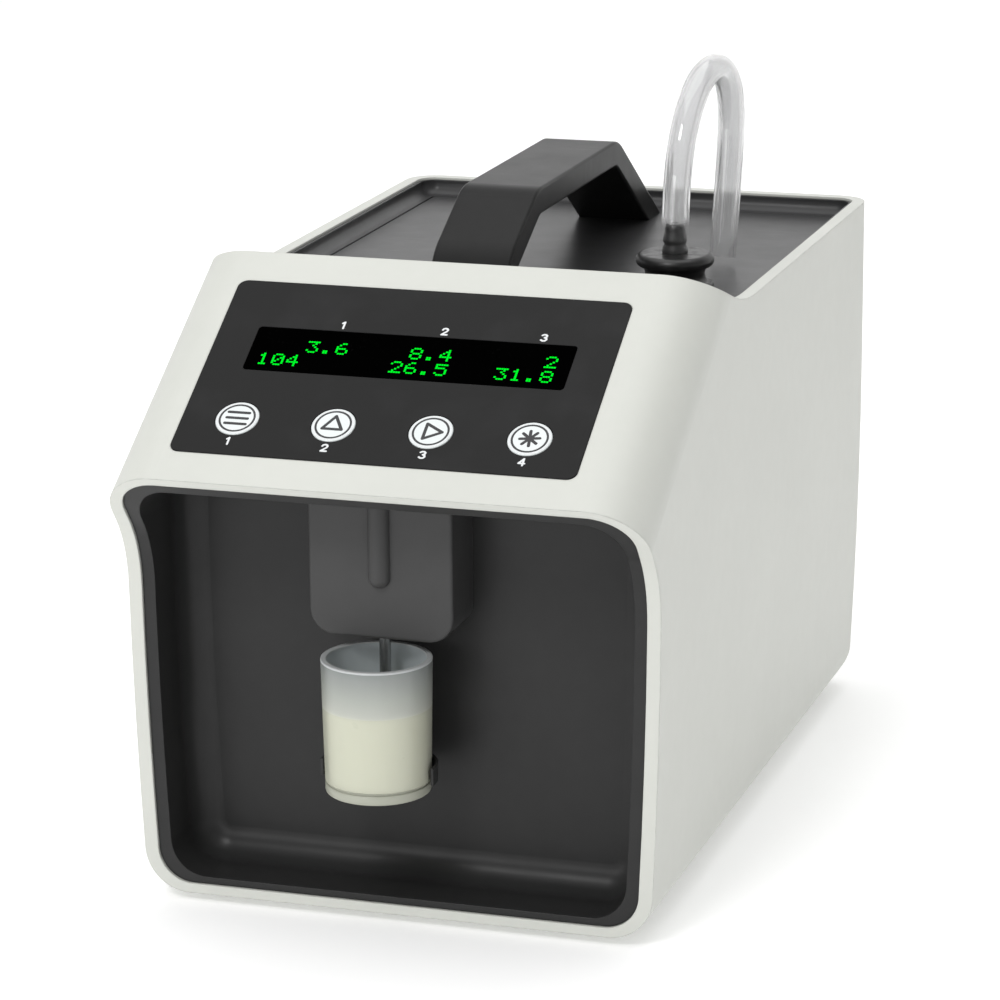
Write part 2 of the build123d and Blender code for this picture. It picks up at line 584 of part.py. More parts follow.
with BuildPart() as milk_sample:
    with BuildSketch(cup_plane):
        with BuildLine():
            low_r = cup_radius(CUP_FLOOR_Z + MILK_GAP) - CUP_WALL - MILK_GAP
            high_r = cup_radius(MILK_TOP_Z) - CUP_WALL - MILK_GAP
            Polyline((0, CUP_FLOOR_Z + MILK_GAP), (low_r, CUP_FLOOR_Z + MILK_GAP), (high_r, MILK_TOP_Z),
                     (0, MILK_TOP_Z), close=True)
        make_face()
    revolve(axis=Axis((SAMPLER_X, CUP_Y, 0), (0, 0, 1)))
    with BuildSketch(Plane.XY.offset(MILK_TOP_Z)):
        with Locations((SAMPLER_X, NEEDLE_Y)):
            Circle(NEEDLE_R + 0.5)
    extrude(amount=NEEDLE_TIP_Z - 2 - MILK_TOP_Z, mode=Mode.SUBTRACT)
finish(milk_sample.part, "milk_sample")

# Panel overlay, window, keys and their boards

with BuildPart() as panel_overlay:
    with BuildSketch(PANEL.offset(-REBATE_D)):
        with Locations((PANEL_MID_X, OVERLAY_MID)):
            RectangleRounded(OVERLAY_W, OVERLAY_H, OVERLAY_CORNER_R)
        with Locations((PANEL_MID_X, WINDOW_MID)):
            RectangleRounded(WINDOW_W + 2 * WINDOW_GAP, WINDOW_H + 2 * WINDOW_GAP, 1.5, mode=Mode.SUBTRACT)
        with Locations(*KEY_SPOTS):
            Circle(KEY_R + KEY_GAP, mode=Mode.SUBTRACT)
    extrude(amount=OVERLAY_T)
finish(panel_overlay.part, "panel_overlay")

with BuildPart() as display_window:
    with BuildSketch(PANEL.offset(-WINDOW_SEAT)):
        with Locations((PANEL_MID_X, WINDOW_MID)):
            RectangleRounded(WINDOW_W, WINDOW_H, 1.4)
    extrude(amount=WINDOW_SEAT + OVERLAY_PROUD - 0.1)
finish(display_window.part, "display_window")

with BuildPart() as display_module:
    with BuildSketch(PANEL.offset(-THIN_WALL - 0.2)):
        with Locations((PANEL_MID_X, WINDOW_MID)):
            Rectangle(*DISPLAY_FRAME)
    extrude(amount=THIN_WALL + 0.2 - DISPLAY_BACK)
    fillet(display_module.edges().filter_by(lambda e: abs(e.length - 8) < 0.01), 1)
    with BuildSketch(PANEL.offset(-DISPLAY_BACK)):
        with Locations((PANEL_MID_X, WINDOW_MID)):
            Rectangle(*DISPLAY_BOARD)
        with Locations(*DISPLAY_SCREWS):
            Circle(1.6, mode=Mode.SUBTRACT)
    extrude(amount=-BOARD_T)
finish(display_module.part, "display_module")

# A mirrored plane keeps the screws' heads on the side away from the panel.
behind_panel = Plane(origin=PANEL.origin, x_dir=(1, 0, 0), z_dir=-PANEL.z_dir)
display_back = behind_panel.offset(DISPLAY_BACK + BOARD_T)
keypad_back = behind_panel.offset(KEYPAD_TOP + BOARD_T)
with BuildPart() as board_fixings:
    add(screws(display_back, [(x, -up) for x, up in DISPLAY_SCREWS], 1.15, 6, 2.3, 1.5))
    add(screws(keypad_back, [(x, -up) for x, up in KEYPAD_SCREWS], 1.15, 5, 2.3, 1.5))
finish(board_fixings.part, "panel_board_screws")

for key_name, x in zip(("menu_key", "up_key", "next_key", "start_key"), KEY_XS):
    with BuildPart() as key:
        with BuildSketch(PANEL.offset(KEY_TOP - KEY_T)):
            with Locations((x, KEY_UP)):
                Circle(KEY_R)
        extrude(amount=KEY_T)
        fillet(key.edges().sort_by(Axis((0, 0, 0), PANEL.z_dir))[-1], 0.5)
        with BuildSketch(PANEL.offset(KEY_TOP - KEY_T)):
            with Locations((x, KEY_UP)):
                Circle(KEY_STEM_R)
        extrude(amount=-(THIN_WALL + 1.4 + KEY_TOP - KEY_T))
        # Snap collar that keeps the key in its hole.
        with BuildSketch(PANEL.offset(-THIN_WALL - 0.3)):
            with Locations((x, KEY_UP)):
                Circle(KEY_STEM_R + 1.4)
        extrude(amount=-1.1)
    finish(key.part, key_name)

with BuildPart() as keypad_board:
    with BuildSketch(PANEL.offset(-KEYPAD_TOP)):
        with Locations((PANEL_MID_X, KEY_UP)):
            Rectangle(*KEYPAD_BOARD)
        with Locations(*KEYPAD_SCREWS):
            Circle(1.6, mode=Mode.SUBTRACT)
    extrude(amount=-BOARD_T)
    with BuildSketch(PANEL.offset(-KEYPAD_TOP)):
        with Locations(*KEY_SPOTS):
            RectangleRounded(SWITCH_SIDE, SWITCH_SIDE, 0.5)
    extrude(amount=SWITCH_BASE_H)
    with BuildSketch(PANEL.offset(-KEYPAD_TOP)):
        with Locations(*KEY_SPOTS):
            Circle(SWITCH_PLUNGER_R)
    extrude(amount=KEYPAD_TOP - THIN_WALL - SWITCH_BASE_H - KEY_TRAVEL - 0.1)
finish(keypad_board.part, "keypad_board")

# Tray, handle and hose port

HANDLE_FRONT_Y = FRONT_Y + 92.2
HANDLE_REAR_Y = FRONT_Y + 278.0
STUD_L = 4.5
POST_SPOTS = [(0, HANDLE_FRONT_Y), (0, HANDLE_REAR_Y)]
PORT_STEM_R = 6.0
PORT_STEM_L = 13.0
PORT_SPIGOT_Z = TRAY_TOP_Z - PORT_STEM_L - 8.0
PORT_BARB_L = 11.0
PORT_LOWER_T = 2.8
PORT_ROLL_R = 2.4
PORT_NECK_R = 10.9
PORT_NUT_R = 8.5
PORT_NUT_H = 4.0

FIELD_CORNER_R = 2.5
field_w = 2 * (TRAY_HALF_W - TRAY_BORDER)
field_d = TRAY_REAR_Y - TRAY_FRONT_Y - 2 * TRAY_BORDER

with BuildPart() as top_tray:
    with BuildSketch(Plane.XY.offset(TRAY_LOW_Z)) as tray_view:
        with Locations((0, TRAY_MID_Y)):
            Rectangle(2 * TRAY_HALF_W, TRAY_REAR_Y - TRAY_FRONT_Y)
        fillet(tray_view.vertices().group_by(Axis.Y)[-1], REAR_CORNER_R - SIDE_WALL - TRAY_GAP)
    extrude(amount=TRAY_T - TRAY_STEP)
    with BuildSketch(Plane.XY.offset(TRAY_TOP_Z - TRAY_STEP)):
        with Locations((0, TRAY_MID_Y)):
            RectangleRounded(field_w, field_d, FIELD_CORNER_R)
    extrude(amount=TRAY_STEP, taper=45)
    # Snap hooks under the ledges.
    hook_x = BODY_W / 2 - SIDE_WALL - LEDGE_W + 0.5
    for side in (-1, 1):
        for y in (TRAY_MID_Y - 75, TRAY_MID_Y, TRAY_MID_Y + 75):
            with Locations((side * (hook_x - 1.5), y, TRAY_LOW_Z - 2.6)):
                Box(1.6, 10, 5.2)
            with Locations((side * (hook_x - 0.5), y, TRAY_LOW_Z - LEDGE_T - 1.2)):
                Box(3.6, 10, 2.0)
    with BuildSketch(Plane.XY.offset(TRAY_TOP_Z)):
        with Locations(*POST_SPOTS):
            Circle(2.2)
        with Locations((PORT_X, PORT_Y)):
            Circle(PORT_STEM_R + 0.1)
    extrude(amount=-TRAY_T, mode=Mode.SUBTRACT)
finish(top_tray.part, "top_tray")

# Strip in the tray's border that turns its edge up against the walls with a hollow curve.
with BuildPart() as well:
    with BuildSketch(Plane.XY.offset(TRAY_TOP_Z)):
        with Locations((0, TRAY_MID_Y)):
            RectangleRounded(2 * (TRAY_HALF_W - STRIP_EDGE), TRAY_REAR_Y - TRAY_FRONT_Y - 2 * STRIP_EDGE,
                             REAR_CORNER_R - SIDE_WALL - TRAY_GAP - STRIP_EDGE)
    extrude(amount=2 * STRIP_COVE_R)
    fillet(well.faces().sort_by(Axis.Z)[0].edges(), STRIP_COVE_R)

with BuildPart() as tray_strip:
    extrude(tray_view.sketch.moved(Location((0, 0, TRAY_TOP_Z - TRAY_STEP - TRAY_LOW_Z))),
            amount=STRIP_TOP_Z - TRAY_TOP_Z + TRAY_STEP)
    with BuildSketch(Plane.XY.offset(TRAY_TOP_Z - TRAY_STEP)):
        with Locations((0, TRAY_MID_Y)):
            RectangleRounded(field_w, field_d, FIELD_CORNER_R)
    extrude(amount=TRAY_STEP, mode=Mode.SUBTRACT)
    add(well.part, mode=Mode.SUBTRACT)
finish(tray_strip.part, "tray_strip")

handle_mid_z = HANDLE_TOP_Z - HANDLE_T / 2
handle_points = [(FRONT_Y + 92.0, 183.8), (FRONT_Y + 92.3, 210.7), (FRONT_Y + 127.3, handle_mid_z),
                 (FRONT_Y + 228.5, handle_mid_z), (FRONT_Y + 299.0, 183.0)]
with BuildPart() as carry_handle:
    with BuildSketch(Plane.YZ.offset(-HANDLE_W / 2)):
        with BuildLine() as handle_line:
            FilletPolyline(*handle_points, radius=HANDLE_BEND_R)
            offset(amount=HANDLE_T / 2)
        make_face()
    extrude(amount=HANDLE_W)
    with Locations((0, 0, TRAY_TOP_Z - 100)):
        Box(BODY_W, 2 * BODY_D, 200, mode=Mode.SUBTRACT)
    fillet(carry_handle.edges().filter_by(lambda e: abs(e.center().X) > HANDLE_W / 2 - 0.1
                                          and e.center().Z > TRAY_TOP_Z + 0.1), HANDLE_EDGE_R)
    with BuildSketch(Plane.XY.offset(TRAY_TOP_Z)):
        with Locations(*POST_SPOTS):
            Circle(2.0)
    extrude(amount=STUD_L + 0.5, mode=Mode.SUBTRACT)
finish(carry_handle.part, "carry_handle")

with BuildPart() as handle_posts:
    with BuildSketch(Plane.XY.offset(CHASSIS_TOP_Z)):
        with Locations(*POST_SPOTS):
            RegularPolygon(4.0, 6, major_radius=False)
    extrude(amount=TRAY_LOW_Z - CHASSIS_TOP_Z)
    with BuildSketch(Plane.XY.offset(TRAY_LOW_Z)):
        with Locations(*POST_SPOTS):
            Circle(2.0)
    extrude(amount=TRAY_T + STUD_L)
finish(handle_posts.part, "handle_posts")

with BuildPart() as hose_port:
    port_plane = Plane(origin=(PORT_X, PORT_Y, 0), x_dir=(1, 0, 0), z_dir=(0, -1, 0))
    with BuildSketch(port_plane):
        with BuildLine():
            # Two round-edged flanges with a hollow neck between them.
            seat_r = PORT_FLANGE_R - PORT_ROLL_R
            neck_low = TRAY_TOP_Z + PORT_LOWER_T
            neck_high = HOSE_FOOT_Z - 2 * PORT_ROLL_R
            Polyline((0, TRAY_TOP_Z), (PORT_FLANGE_R - PORT_LOWER_T / 2, TRAY_TOP_Z))
            ThreePointArc((PORT_FLANGE_R - PORT_LOWER_T / 2, TRAY_TOP_Z),
                          (PORT_FLANGE_R, TRAY_TOP_Z + PORT_LOWER_T / 2),
                          (PORT_FLANGE_R - PORT_LOWER_T / 2, neck_low))
            Line((PORT_FLANGE_R - PORT_LOWER_T / 2, neck_low), (seat_r, neck_low))
            ThreePointArc((seat_r, neck_low), (PORT_NECK_R, (neck_low + neck_high) / 2), (seat_r, neck_high))
            ThreePointArc((seat_r, neck_high), (PORT_FLANGE_R, HOSE_FOOT_Z - PORT_ROLL_R),
                          (seat_r, HOSE_FOOT_Z))
            Polyline((seat_r, HOSE_FOOT_Z), (0, HOSE_FOOT_Z), (0, TRAY_TOP_Z))
        make_face()
    revolve(axis=Axis((PORT_X, PORT_Y, 0), (0, 0, 1)))
    for low, high, radius in [(HOSE_FOOT_Z, HOSE_FOOT_Z + PORT_BARB_L, HOSE_ID / 2),
                              (TRAY_TOP_Z - PORT_STEM_L, TRAY_TOP_Z, PORT_STEM_R),
                              (PORT_SPIGOT_Z, TRAY_TOP_Z - PORT_STEM_L, TUBE_ID / 2)]:
        with BuildSketch(Plane.XY.offset(low)):
            with Locations((PORT_X, PORT_Y)):
                Circle(radius)
        extrude(amount=high - low)
    with BuildSketch(Plane.XY.offset(PORT_SPIGOT_Z)):
        with Locations((PORT_X, PORT_Y)):
            Circle(SPIGOT_BORE_R)
    extrude(amount=HOSE_FOOT_Z + PORT_BARB_L - PORT_SPIGOT_Z, mode=Mode.SUBTRACT)
finish(hose_port.part, "hose_port")

with BuildPart() as port_nut:
    with BuildSketch(Plane.XY.offset(TRAY_LOW_Z)):
        with Locations((PORT_X, PORT_Y)):
            RegularPolygon(PORT_NUT_R, 6, major_radius=False)
            Circle(PORT_STEM_R, mode=Mode.SUBTRACT)
    extrude(amount=-PORT_NUT_H)
finish(port_nut.part, "port_nut")

hose_points = [(PORT_X, PORT_Y, HOSE_FOOT_Z), (PORT_X, PORT_Y, 238.0), (59.8, 28.0, 266.0),
               (63.2, 50.0, 272.0), (65.3, 63.0, 258.0), (64.7, 60.0, 226.0),
               (63.7, 55.0, TRAY_TOP_Z + 3.2)]
clear_hose = tube(smooth_route(hose_points, "clear_hose"), HOSE_OD / 2, HOSE_ID / 2)
finish(clear_hose, "clear_hose")

# Feet and chassis

FOOT_R = 9.5
FOOT_SEAT_Z = 1.8
with BuildPart() as rubber_feet:
    with BuildSketch(Plane.XY):
        with Locations(*FOOT_SPOTS):
            Circle(FOOT_R)
    extrude(amount=FOOT_H)
    fillet(rubber_feet.edges().filter_by_position(Axis.Z, -0.1, 0.1), 0.6)
    with BuildSketch(Plane.XY):
        with Locations(*FOOT_SPOTS):
            Circle(4.4)
    extrude(amount=FOOT_SEAT_Z, mode=Mode.SUBTRACT)
    with BuildSketch(Plane.XY):
        with Locations(*FOOT_SPOTS):
            Circle(FOOT_HOLE_R)
    extrude(amount=FOOT_H, mode=Mode.SUBTRACT)
finish(rubber_feet.part, "rubber_feet")

below = Plane(origin=(0, 0, FOOT_SEAT_Z), x_dir=(1, 0, 0), z_dir=(0, 0, -1))
finish(screws(below, [(x, -y) for x, y in FOOT_SPOTS], 2.0, 9.0, 3.8, 1.4), "feet_screws")

CHASSIS_FRONT_Y = FRONT_Y + 36
CHASSIS_REAR_Y = FRONT_Y + 292
CHASSIS_W = 148.0
PUMP_HALF_W = 32.0
BRACKET_T = 2.0
BRACKET_FOOT = 22.0
BRACKET_SCREWS = [(PUMP_X + side * 24, PUMP_BACK_Y + BRACKET_T + 12) for side in (-1, 1)]
BOARD_X = -41.0
BOARD_Y = FRONT_Y + 215.0
BOARD_W = 64.0
BOARD_L = 124.0
BOARD_LOW_Z = CHASSIS_TOP_Z + 8.0
BOARD_SPOTS = [(BOARD_X + side * 27, BOARD_Y + end * 57) for side in (-1, 1) for end in (-1, 1)]
CELL_FOOT_SPOTS = [(CELL_X, CELL_Y - CELL_L / 2 - 16), (CELL_X, CELL_Y + CELL_L / 2 + 16)]
CHASSIS_THREAD_R = M3_R

with BuildPart() as base_frame:
    with BuildSketch(Plane.XY.offset(FLOOR_Z)) as frame_view:
        with Locations((0, (CHASSIS_FRONT_Y + CHASSIS_REAR_Y) / 2)):
            RectangleRounded(CHASSIS_W, CHASSIS_REAR_Y - CHASSIS_FRONT_Y, 6)
        with Locations(*RECESS_SCREW_SPOTS):
            Rectangle(18, 18, mode=Mode.SUBTRACT)
    extrude(amount=CHASSIS_T)
    # Upturned side flanges, and welded nuts over the feet.
    for side in (-1, 1):
        with Locations((side * (CHASSIS_W / 2 - 0.75), (CHASSIS_FRONT_Y + CHASSIS_REAR_Y) / 2, FLOOR_Z + 4)):
            Box(1.5, CHASSIS_REAR_Y - CHASSIS_FRONT_Y - 20, 8)
    with BuildSketch(Plane.XY.offset(CHASSIS_TOP_Z)):
        with Locations(*FOOT_SPOTS):
            RegularPolygon(4.5, 6)
    extrude(amount=3)
    with BuildSketch(Plane.XY.offset(FLOOR_Z)):
        with Locations(*FOOT_SPOTS):
            Circle(2.0)
        with Locations(*BRACKET_SCREWS, *BOARD_SPOTS, *CELL_FOOT_SPOTS):
            Circle(CHASSIS_THREAD_R)
    extrude(amount=10, mode=Mode.SUBTRACT)
finish(base_frame.part, "base_frame")

# Main board

with BuildPart() as board_standoffs:
    with BuildSketch(Plane.XY.offset(CHASSIS_TOP_Z)):
        with Locations(*BOARD_SPOTS):
            RegularPolygon(2.75, 6, major_radius=False)
    extrude(amount=BOARD_LOW_Z - CHASSIS_TOP_Z)
    with BuildSketch(Plane.XY.offset(FLOOR_Z + 0.1)):
        with Locations(*BOARD_SPOTS):
            Circle(CHASSIS_THREAD_R)
    extrude(amount=CHASSIS_T)
    with BuildSketch(Plane.XY.offset(BOARD_LOW_Z)):
        with Locations(*BOARD_SPOTS):
            Circle(CHASSIS_THREAD_R)
    extrude(amount=-5, mode=Mode.SUBTRACT)
finish(board_standoffs.part, "board_standoffs")

chips = [(-14, -40, 14, 14, 2.2), (8, -38, 10, 10, 1.8), (-16, -8, 20, 8, 2.5), (10, 2, 12, 16, 2.0),
         (-18, 26, 12, 10, 9.0), (8, 34, 22, 9, 7.5)]
capacitors = [(-4, 20, 4.0, 11.0), (20, 20, 4.0, 11.0), (22, -20, 3.0, 8.0), (-24, -24, 3.0, 8.0)]
with BuildPart() as main_board:
    with BuildSketch(Plane.XY.offset(BOARD_LOW_Z)):
        with Locations((BOARD_X, BOARD_Y)):
            RectangleRounded(BOARD_W, BOARD_L, 2)
        with Locations(*BOARD_SPOTS):
            Circle(1.6, mode=Mode.SUBTRACT)
    extrude(amount=BOARD_T)
    for x, y, width, length, height in chips:
        with Locations((BOARD_X + x, BOARD_Y + y, BOARD_LOW_Z + BOARD_T + height / 2)):
            Box(width, length, height)
    for x, y, radius, height in capacitors:
        with Locations((BOARD_X + x, BOARD_Y + y, BOARD_LOW_Z + BOARD_T + height / 2)):
            Cylinder(radius, height)
finish(main_board.part, "main_board")

# One size of screw holds the board, the pump's bracket and the cell's bracket.
bracket_top = CHASSIS_TOP_Z + BRACKET_T
with BuildPart() as chassis_screws:
    add(screws(Plane.XY.offset(BOARD_LOW_Z + BOARD_T), BOARD_SPOTS, CHASSIS_THREAD_R, 5.5, M3_HEAD_R, M3_HEAD_H))
    add(screws(Plane.XY.offset(bracket_top), BRACKET_SCREWS + CELL_FOOT_SPOTS, CHASSIS_THREAD_R,
               BRACKET_T + CHASSIS_T - 0.1, M3_HEAD_R, M3_HEAD_H))
finish(chassis_screws.part, "chassis_screws")

# Peristaltic pump: bracket, motor, head, rotor, rollers and tube loop

HEAD_LOW_Z = PUMP_Z - PUMP_HALF_W
HEAD_TOP_Z = PUMP_Z + PUMP_HALF_W + 2
PUMP_FACE_Y = PUMP_BACK_Y - PUMP_DEPTH
HEAD_SCREWS = [(PUMP_X + side * 28.5, z) for side in (-1, 1) for z in (HEAD_LOW_Z + 4, HEAD_TOP_Z - 5)]
WALL_R = LOOP_R + TUBE_OD / 2 + 0.1
MOTOR_R = 18.5
MOTOR_L = 52.0
MOTOR_BOSS_R = 6.0
SHAFT_R = 2.5
ROTOR_FRONT_Y = PUMP_FACE_Y + 1.2
ROTOR_BACK_Y = PUMP_BACK_Y - 3.8
DISC_R = 16.5
DISC_T = 2.0
HUB_R = 5.5
ROLLER_FRONT_Y = ROTOR_FRONT_Y + DISC_T + 0.1
ROLLER_BACK_Y = ROTOR_BACK_Y - DISC_T - 0.1
ROLLER_PIN_R = 1.5
ROLLER_ANGLES = (90, 210, 330)
ROLLER_SPOTS = [(PUMP_X + ROLLER_ORBIT_R * math.cos(math.radians(angle)),
                 PUMP_Z + ROLLER_ORBIT_R * math.sin(math.radians(angle))) for angle in ROLLER_ANGLES]

with BuildPart() as pump_bracket:
    with BuildSketch(Plane.XZ.offset(-PUMP_BACK_Y)):
        with Locations((PUMP_X, (CHASSIS_TOP_Z + HEAD_TOP_Z) / 2)):
            Rectangle(2 * PUMP_HALF_W, HEAD_TOP_Z - CHASSIS_TOP_Z)
        with Locations((PUMP_X, PUMP_Z)):
            Circle(MOTOR_BOSS_R + 0.1, mode=Mode.SUBTRACT)
        with Locations(*HEAD_SCREWS):
            Circle(1.5, mode=Mode.SUBTRACT)
    extrude(amount=-BRACKET_T)
    with Locations((PUMP_X, PUMP_BACK_Y + BRACKET_FOOT / 2, CHASSIS_TOP_Z + BRACKET_T / 2)):
        Box(2 * PUMP_HALF_W, BRACKET_FOOT, BRACKET_T)
    with BuildSketch(Plane.XY.offset(CHASSIS_TOP_Z)):
        with Locations(*BRACKET_SCREWS):
            Circle(CHASSIS_THREAD_R + 0.1)
    extrude(amount=BRACKET_T, mode=Mode.SUBTRACT)
finish(pump_bracket.part, "pump_bracket")

MOTOR_FRONT_Y = PUMP_BACK_Y + BRACKET_T
with BuildPart() as pump_motor:
    with BuildSketch(Plane.XZ.offset(-MOTOR_FRONT_Y)):
        with Locations((PUMP_X, PUMP_Z)):
            Circle(MOTOR_R)
    extrude(amount=-MOTOR_L)
    fillet(pump_motor.edges().sort_by(Axis.Y)[-1], 2)
    with BuildSketch(Plane.XZ.offset(-MOTOR_FRONT_Y)):
        with Locations((PUMP_X, PUMP_Z)):
            Circle(MOTOR_BOSS_R)
    extrude(amount=BRACKET_T + 0.5)
    with BuildSketch(Plane.XZ.offset(-MOTOR_FRONT_Y - 8)):
        with Locations((PUMP_X, PUMP_Z)):
            Circle(SHAFT_R + 0.05)
    extrude(amount=12, mode=Mode.SUBTRACT)
finish(pump_motor.part, "pump_motor")

with BuildPart() as motor_shaft:
    with BuildSketch(Plane.XZ.offset(-ROTOR_FRONT_Y)):
        with Locations((PUMP_X, PUMP_Z)):
            Circle(SHAFT_R)
    extrude(amount=-(MOTOR_FRONT_Y + 7 - ROTOR_FRONT_Y))
finish(motor_shaft.part, "motor_shaft")

with BuildPart() as pump_housing:
    with BuildSketch(Plane.XZ.offset(-PUMP_BACK_Y)) as head_view:
        with Locations((PUMP_X, (HEAD_LOW_Z + HEAD_TOP_Z) / 2)):
            RectangleRounded(2 * PUMP_HALF_W, HEAD_TOP_Z - HEAD_LOW_Z, 3)
    extrude(amount=PUMP_DEPTH)
    with BuildSketch(Plane.XZ.offset(-PUMP_FACE_Y)):
        with Locations((PUMP_X, PUMP_Z)):
            Circle(WALL_R)
        with Locations((PUMP_X, PUMP_Z + FAR / 2)):
            Rectangle(2 * WALL_R, FAR)
    extrude(amount=-(PUMP_DEPTH - 3), mode=Mode.SUBTRACT)
    with BuildSketch(Plane.XZ.offset(-PUMP_BACK_Y)):
        with Locations((PUMP_X, PUMP_Z)):
            Circle(MOTOR_BOSS_R + 0.2)
    extrude(amount=PUMP_DEPTH, mode=Mode.SUBTRACT)
    with BuildSketch(Plane.XZ.offset(-PUMP_BACK_Y)):
        with Locations(*HEAD_SCREWS):
            Circle(1.6)
    extrude(amount=PUMP_DEPTH, mode=Mode.SUBTRACT)
finish(pump_housing.part, "pump_housing")

COVER_T = 2.5
with BuildPart() as pump_cover:
    with BuildSketch(Plane.XZ.offset(-PUMP_FACE_Y)):
        with Locations((PUMP_X, (HEAD_LOW_Z + HEAD_TOP_Z) / 2)):
            RectangleRounded(2 * PUMP_HALF_W, HEAD_TOP_Z - HEAD_LOW_Z, 3)
        with Locations(*HEAD_SCREWS):
            Circle(1.6, mode=Mode.SUBTRACT)
    extrude(amount=COVER_T)
finish(pump_cover.part, "pump_cover")

cover_face = Plane.XZ.offset(-PUMP_FACE_Y + COVER_T)
head_screw_l = COVER_T + PUMP_DEPTH + BRACKET_T
finish(screws(cover_face, HEAD_SCREWS, M3_R, head_screw_l, M3_HEAD_R, M3_HEAD_H), "pump_screws")

with BuildPart() as pump_rotor:
    for disc_y in (ROTOR_FRONT_Y, ROTOR_BACK_Y - DISC_T):
        with BuildSketch(Plane.XZ.offset(-disc_y)):
            with Locations((PUMP_X, PUMP_Z)):
                Circle(DISC_R)
        extrude(amount=-DISC_T)
    with BuildSketch(Plane.XZ.offset(-ROTOR_FRONT_Y)):
        with Locations((PUMP_X, PUMP_Z)):
            Circle(HUB_R)
        with Locations(*ROLLER_SPOTS):
            Circle(ROLLER_PIN_R)
    extrude(amount=-(ROTOR_BACK_Y - ROTOR_FRONT_Y))
    with BuildSketch(Plane.XZ.offset(-ROTOR_FRONT_Y)):
        with Locations((PUMP_X, PUMP_Z)):
            Circle(SHAFT_R)
    extrude(amount=-(ROTOR_BACK_Y - ROTOR_FRONT_Y), mode=Mode.SUBTRACT)
finish(pump_rotor.part, "pump_rotor")

for number, (x, z) in enumerate(ROLLER_SPOTS, start=1):
    with BuildPart() as roller:
        with BuildSketch(Plane.XZ.offset(-ROLLER_FRONT_Y)):
            with Locations((x, z)):
                Circle(ROLLER_R)
                Circle(ROLLER_PIN_R + 0.05, mode=Mode.SUBTRACT)
        extrude(amount=-(ROLLER_BACK_Y - ROLLER_FRONT_Y))
    finish(roller.part, f"pump_roller_{number}")

LOOP_TOP_Z = HEAD_TOP_Z + 8
LOOP_ENDS = [(PUMP_X - LOOP_R, PUMP_MID_Y), (PUMP_X + LOOP_R, PUMP_MID_Y)]
with BuildLine() as loop_line:
    Line((PUMP_X - LOOP_R, PUMP_MID_Y, LOOP_TOP_Z), (PUMP_X - LOOP_R, PUMP_MID_Y, PUMP_Z))
    ThreePointArc((PUMP_X - LOOP_R, PUMP_MID_Y, PUMP_Z), (PUMP_X, PUMP_MID_Y, PUMP_Z - LOOP_R),
                  (PUMP_X + LOOP_R, PUMP_MID_Y, PUMP_Z))
    Line((PUMP_X + LOOP_R, PUMP_MID_Y, PUMP_Z), (PUMP_X + LOOP_R, PUMP_MID_Y, LOOP_TOP_Z))
finish(tube(loop_line.wire(), TUBE_OD / 2, TUBE_ID / 2), "pump_tube")

# Couplings that join the loop to the tubes above it.
SPIGOT_L = 6.0
COUPLING_T = 2.5
COUPLING_TOP_Z = LOOP_TOP_Z + COUPLING_T
with BuildPart() as tube_couplings:
    with BuildSketch(Plane.XY.offset(LOOP_TOP_Z - SPIGOT_L)):
        with Locations(*LOOP_ENDS):
            Circle(TUBE_ID / 2)
    extrude(amount=2 * SPIGOT_L + COUPLING_T)
    with BuildSketch(Plane.XY.offset(LOOP_TOP_Z)):
        with Locations(*LOOP_ENDS):
            Circle(TUBE_OD / 2 + 0.6)
    extrude(amount=COUPLING_T)
    with BuildSketch(Plane.XY.offset(LOOP_TOP_Z - SPIGOT_L)):
        with Locations(*LOOP_ENDS):
            Circle(SPIGOT_BORE_R)
    extrude(amount=2 * SPIGOT_L + COUPLING_T, mode=Mode.SUBTRACT)
finish(tube_couplings.part, "tube_couplings")

# Ultrasonic measuring cell with its bracket, heater and transducers

CELL_MID_Z = CELL_LOW_Z + CELL_H / 2
CELL_TOP_Z = CELL_LOW_Z + CELL_H
CELL_PORTS = [(CELL_X, CELL_Y - 22), (CELL_X, CELL_Y + 22)]
CELL_W = 24.0
CELL_BORE_R = 4.0
HEATER_T = 3.0
FLANGE_R = 9.5
FLANGE_T = 5.0
DRIVER_R = 6.5
DRIVER_T = 3.0
with BuildPart() as measuring_cell:
    with Locations((CELL_X, CELL_Y, CELL_MID_Z)):
        Box(CELL_W, CELL_L, CELL_H)
    fillet(measuring_cell.edges().filter_by(Axis.Y), 3)
    with BuildSketch(Plane.XY.offset(CELL_TOP_Z)):
        with Locations(*CELL_PORTS):
            Circle(4)
    extrude(amount=2)
    with BuildSketch(Plane.XY.offset(CELL_TOP_Z)):
        with Locations(*CELL_PORTS):
            Circle(TUBE_ID / 2)
    extrude(amount=2 + SPIGOT_L)
    with BuildSketch(Plane.XZ.offset(-(CELL_Y - CELL_L / 2))):
        with Locations((CELL_X, CELL_MID_Z)):
            Circle(CELL_BORE_R)
    extrude(amount=-CELL_L, mode=Mode.SUBTRACT)
    with BuildSketch(Plane.XY.offset(CELL_MID_Z)):
        with Locations(*CELL_PORTS):
            Circle(SPIGOT_BORE_R)
    extrude(amount=CELL_H, mode=Mode.SUBTRACT)
finish(measuring_cell.part, "measuring_cell")

with BuildPart() as cell_transducers:
    for side in (-1, 1):
        end_y = CELL_Y + side * CELL_L / 2
        with BuildSketch(Plane.XZ.offset(-end_y)):
            with Locations((CELL_X, CELL_MID_Z)):
                Circle(FLANGE_R)
        extrude(amount=-side * FLANGE_T)
        with BuildSketch(Plane.XZ.offset(-end_y - side * FLANGE_T)):
            with Locations((CELL_X, CELL_MID_Z)):
                Circle(DRIVER_R)
        extrude(amount=-side * DRIVER_T)
finish(cell_transducers.part, "cell_transducers")

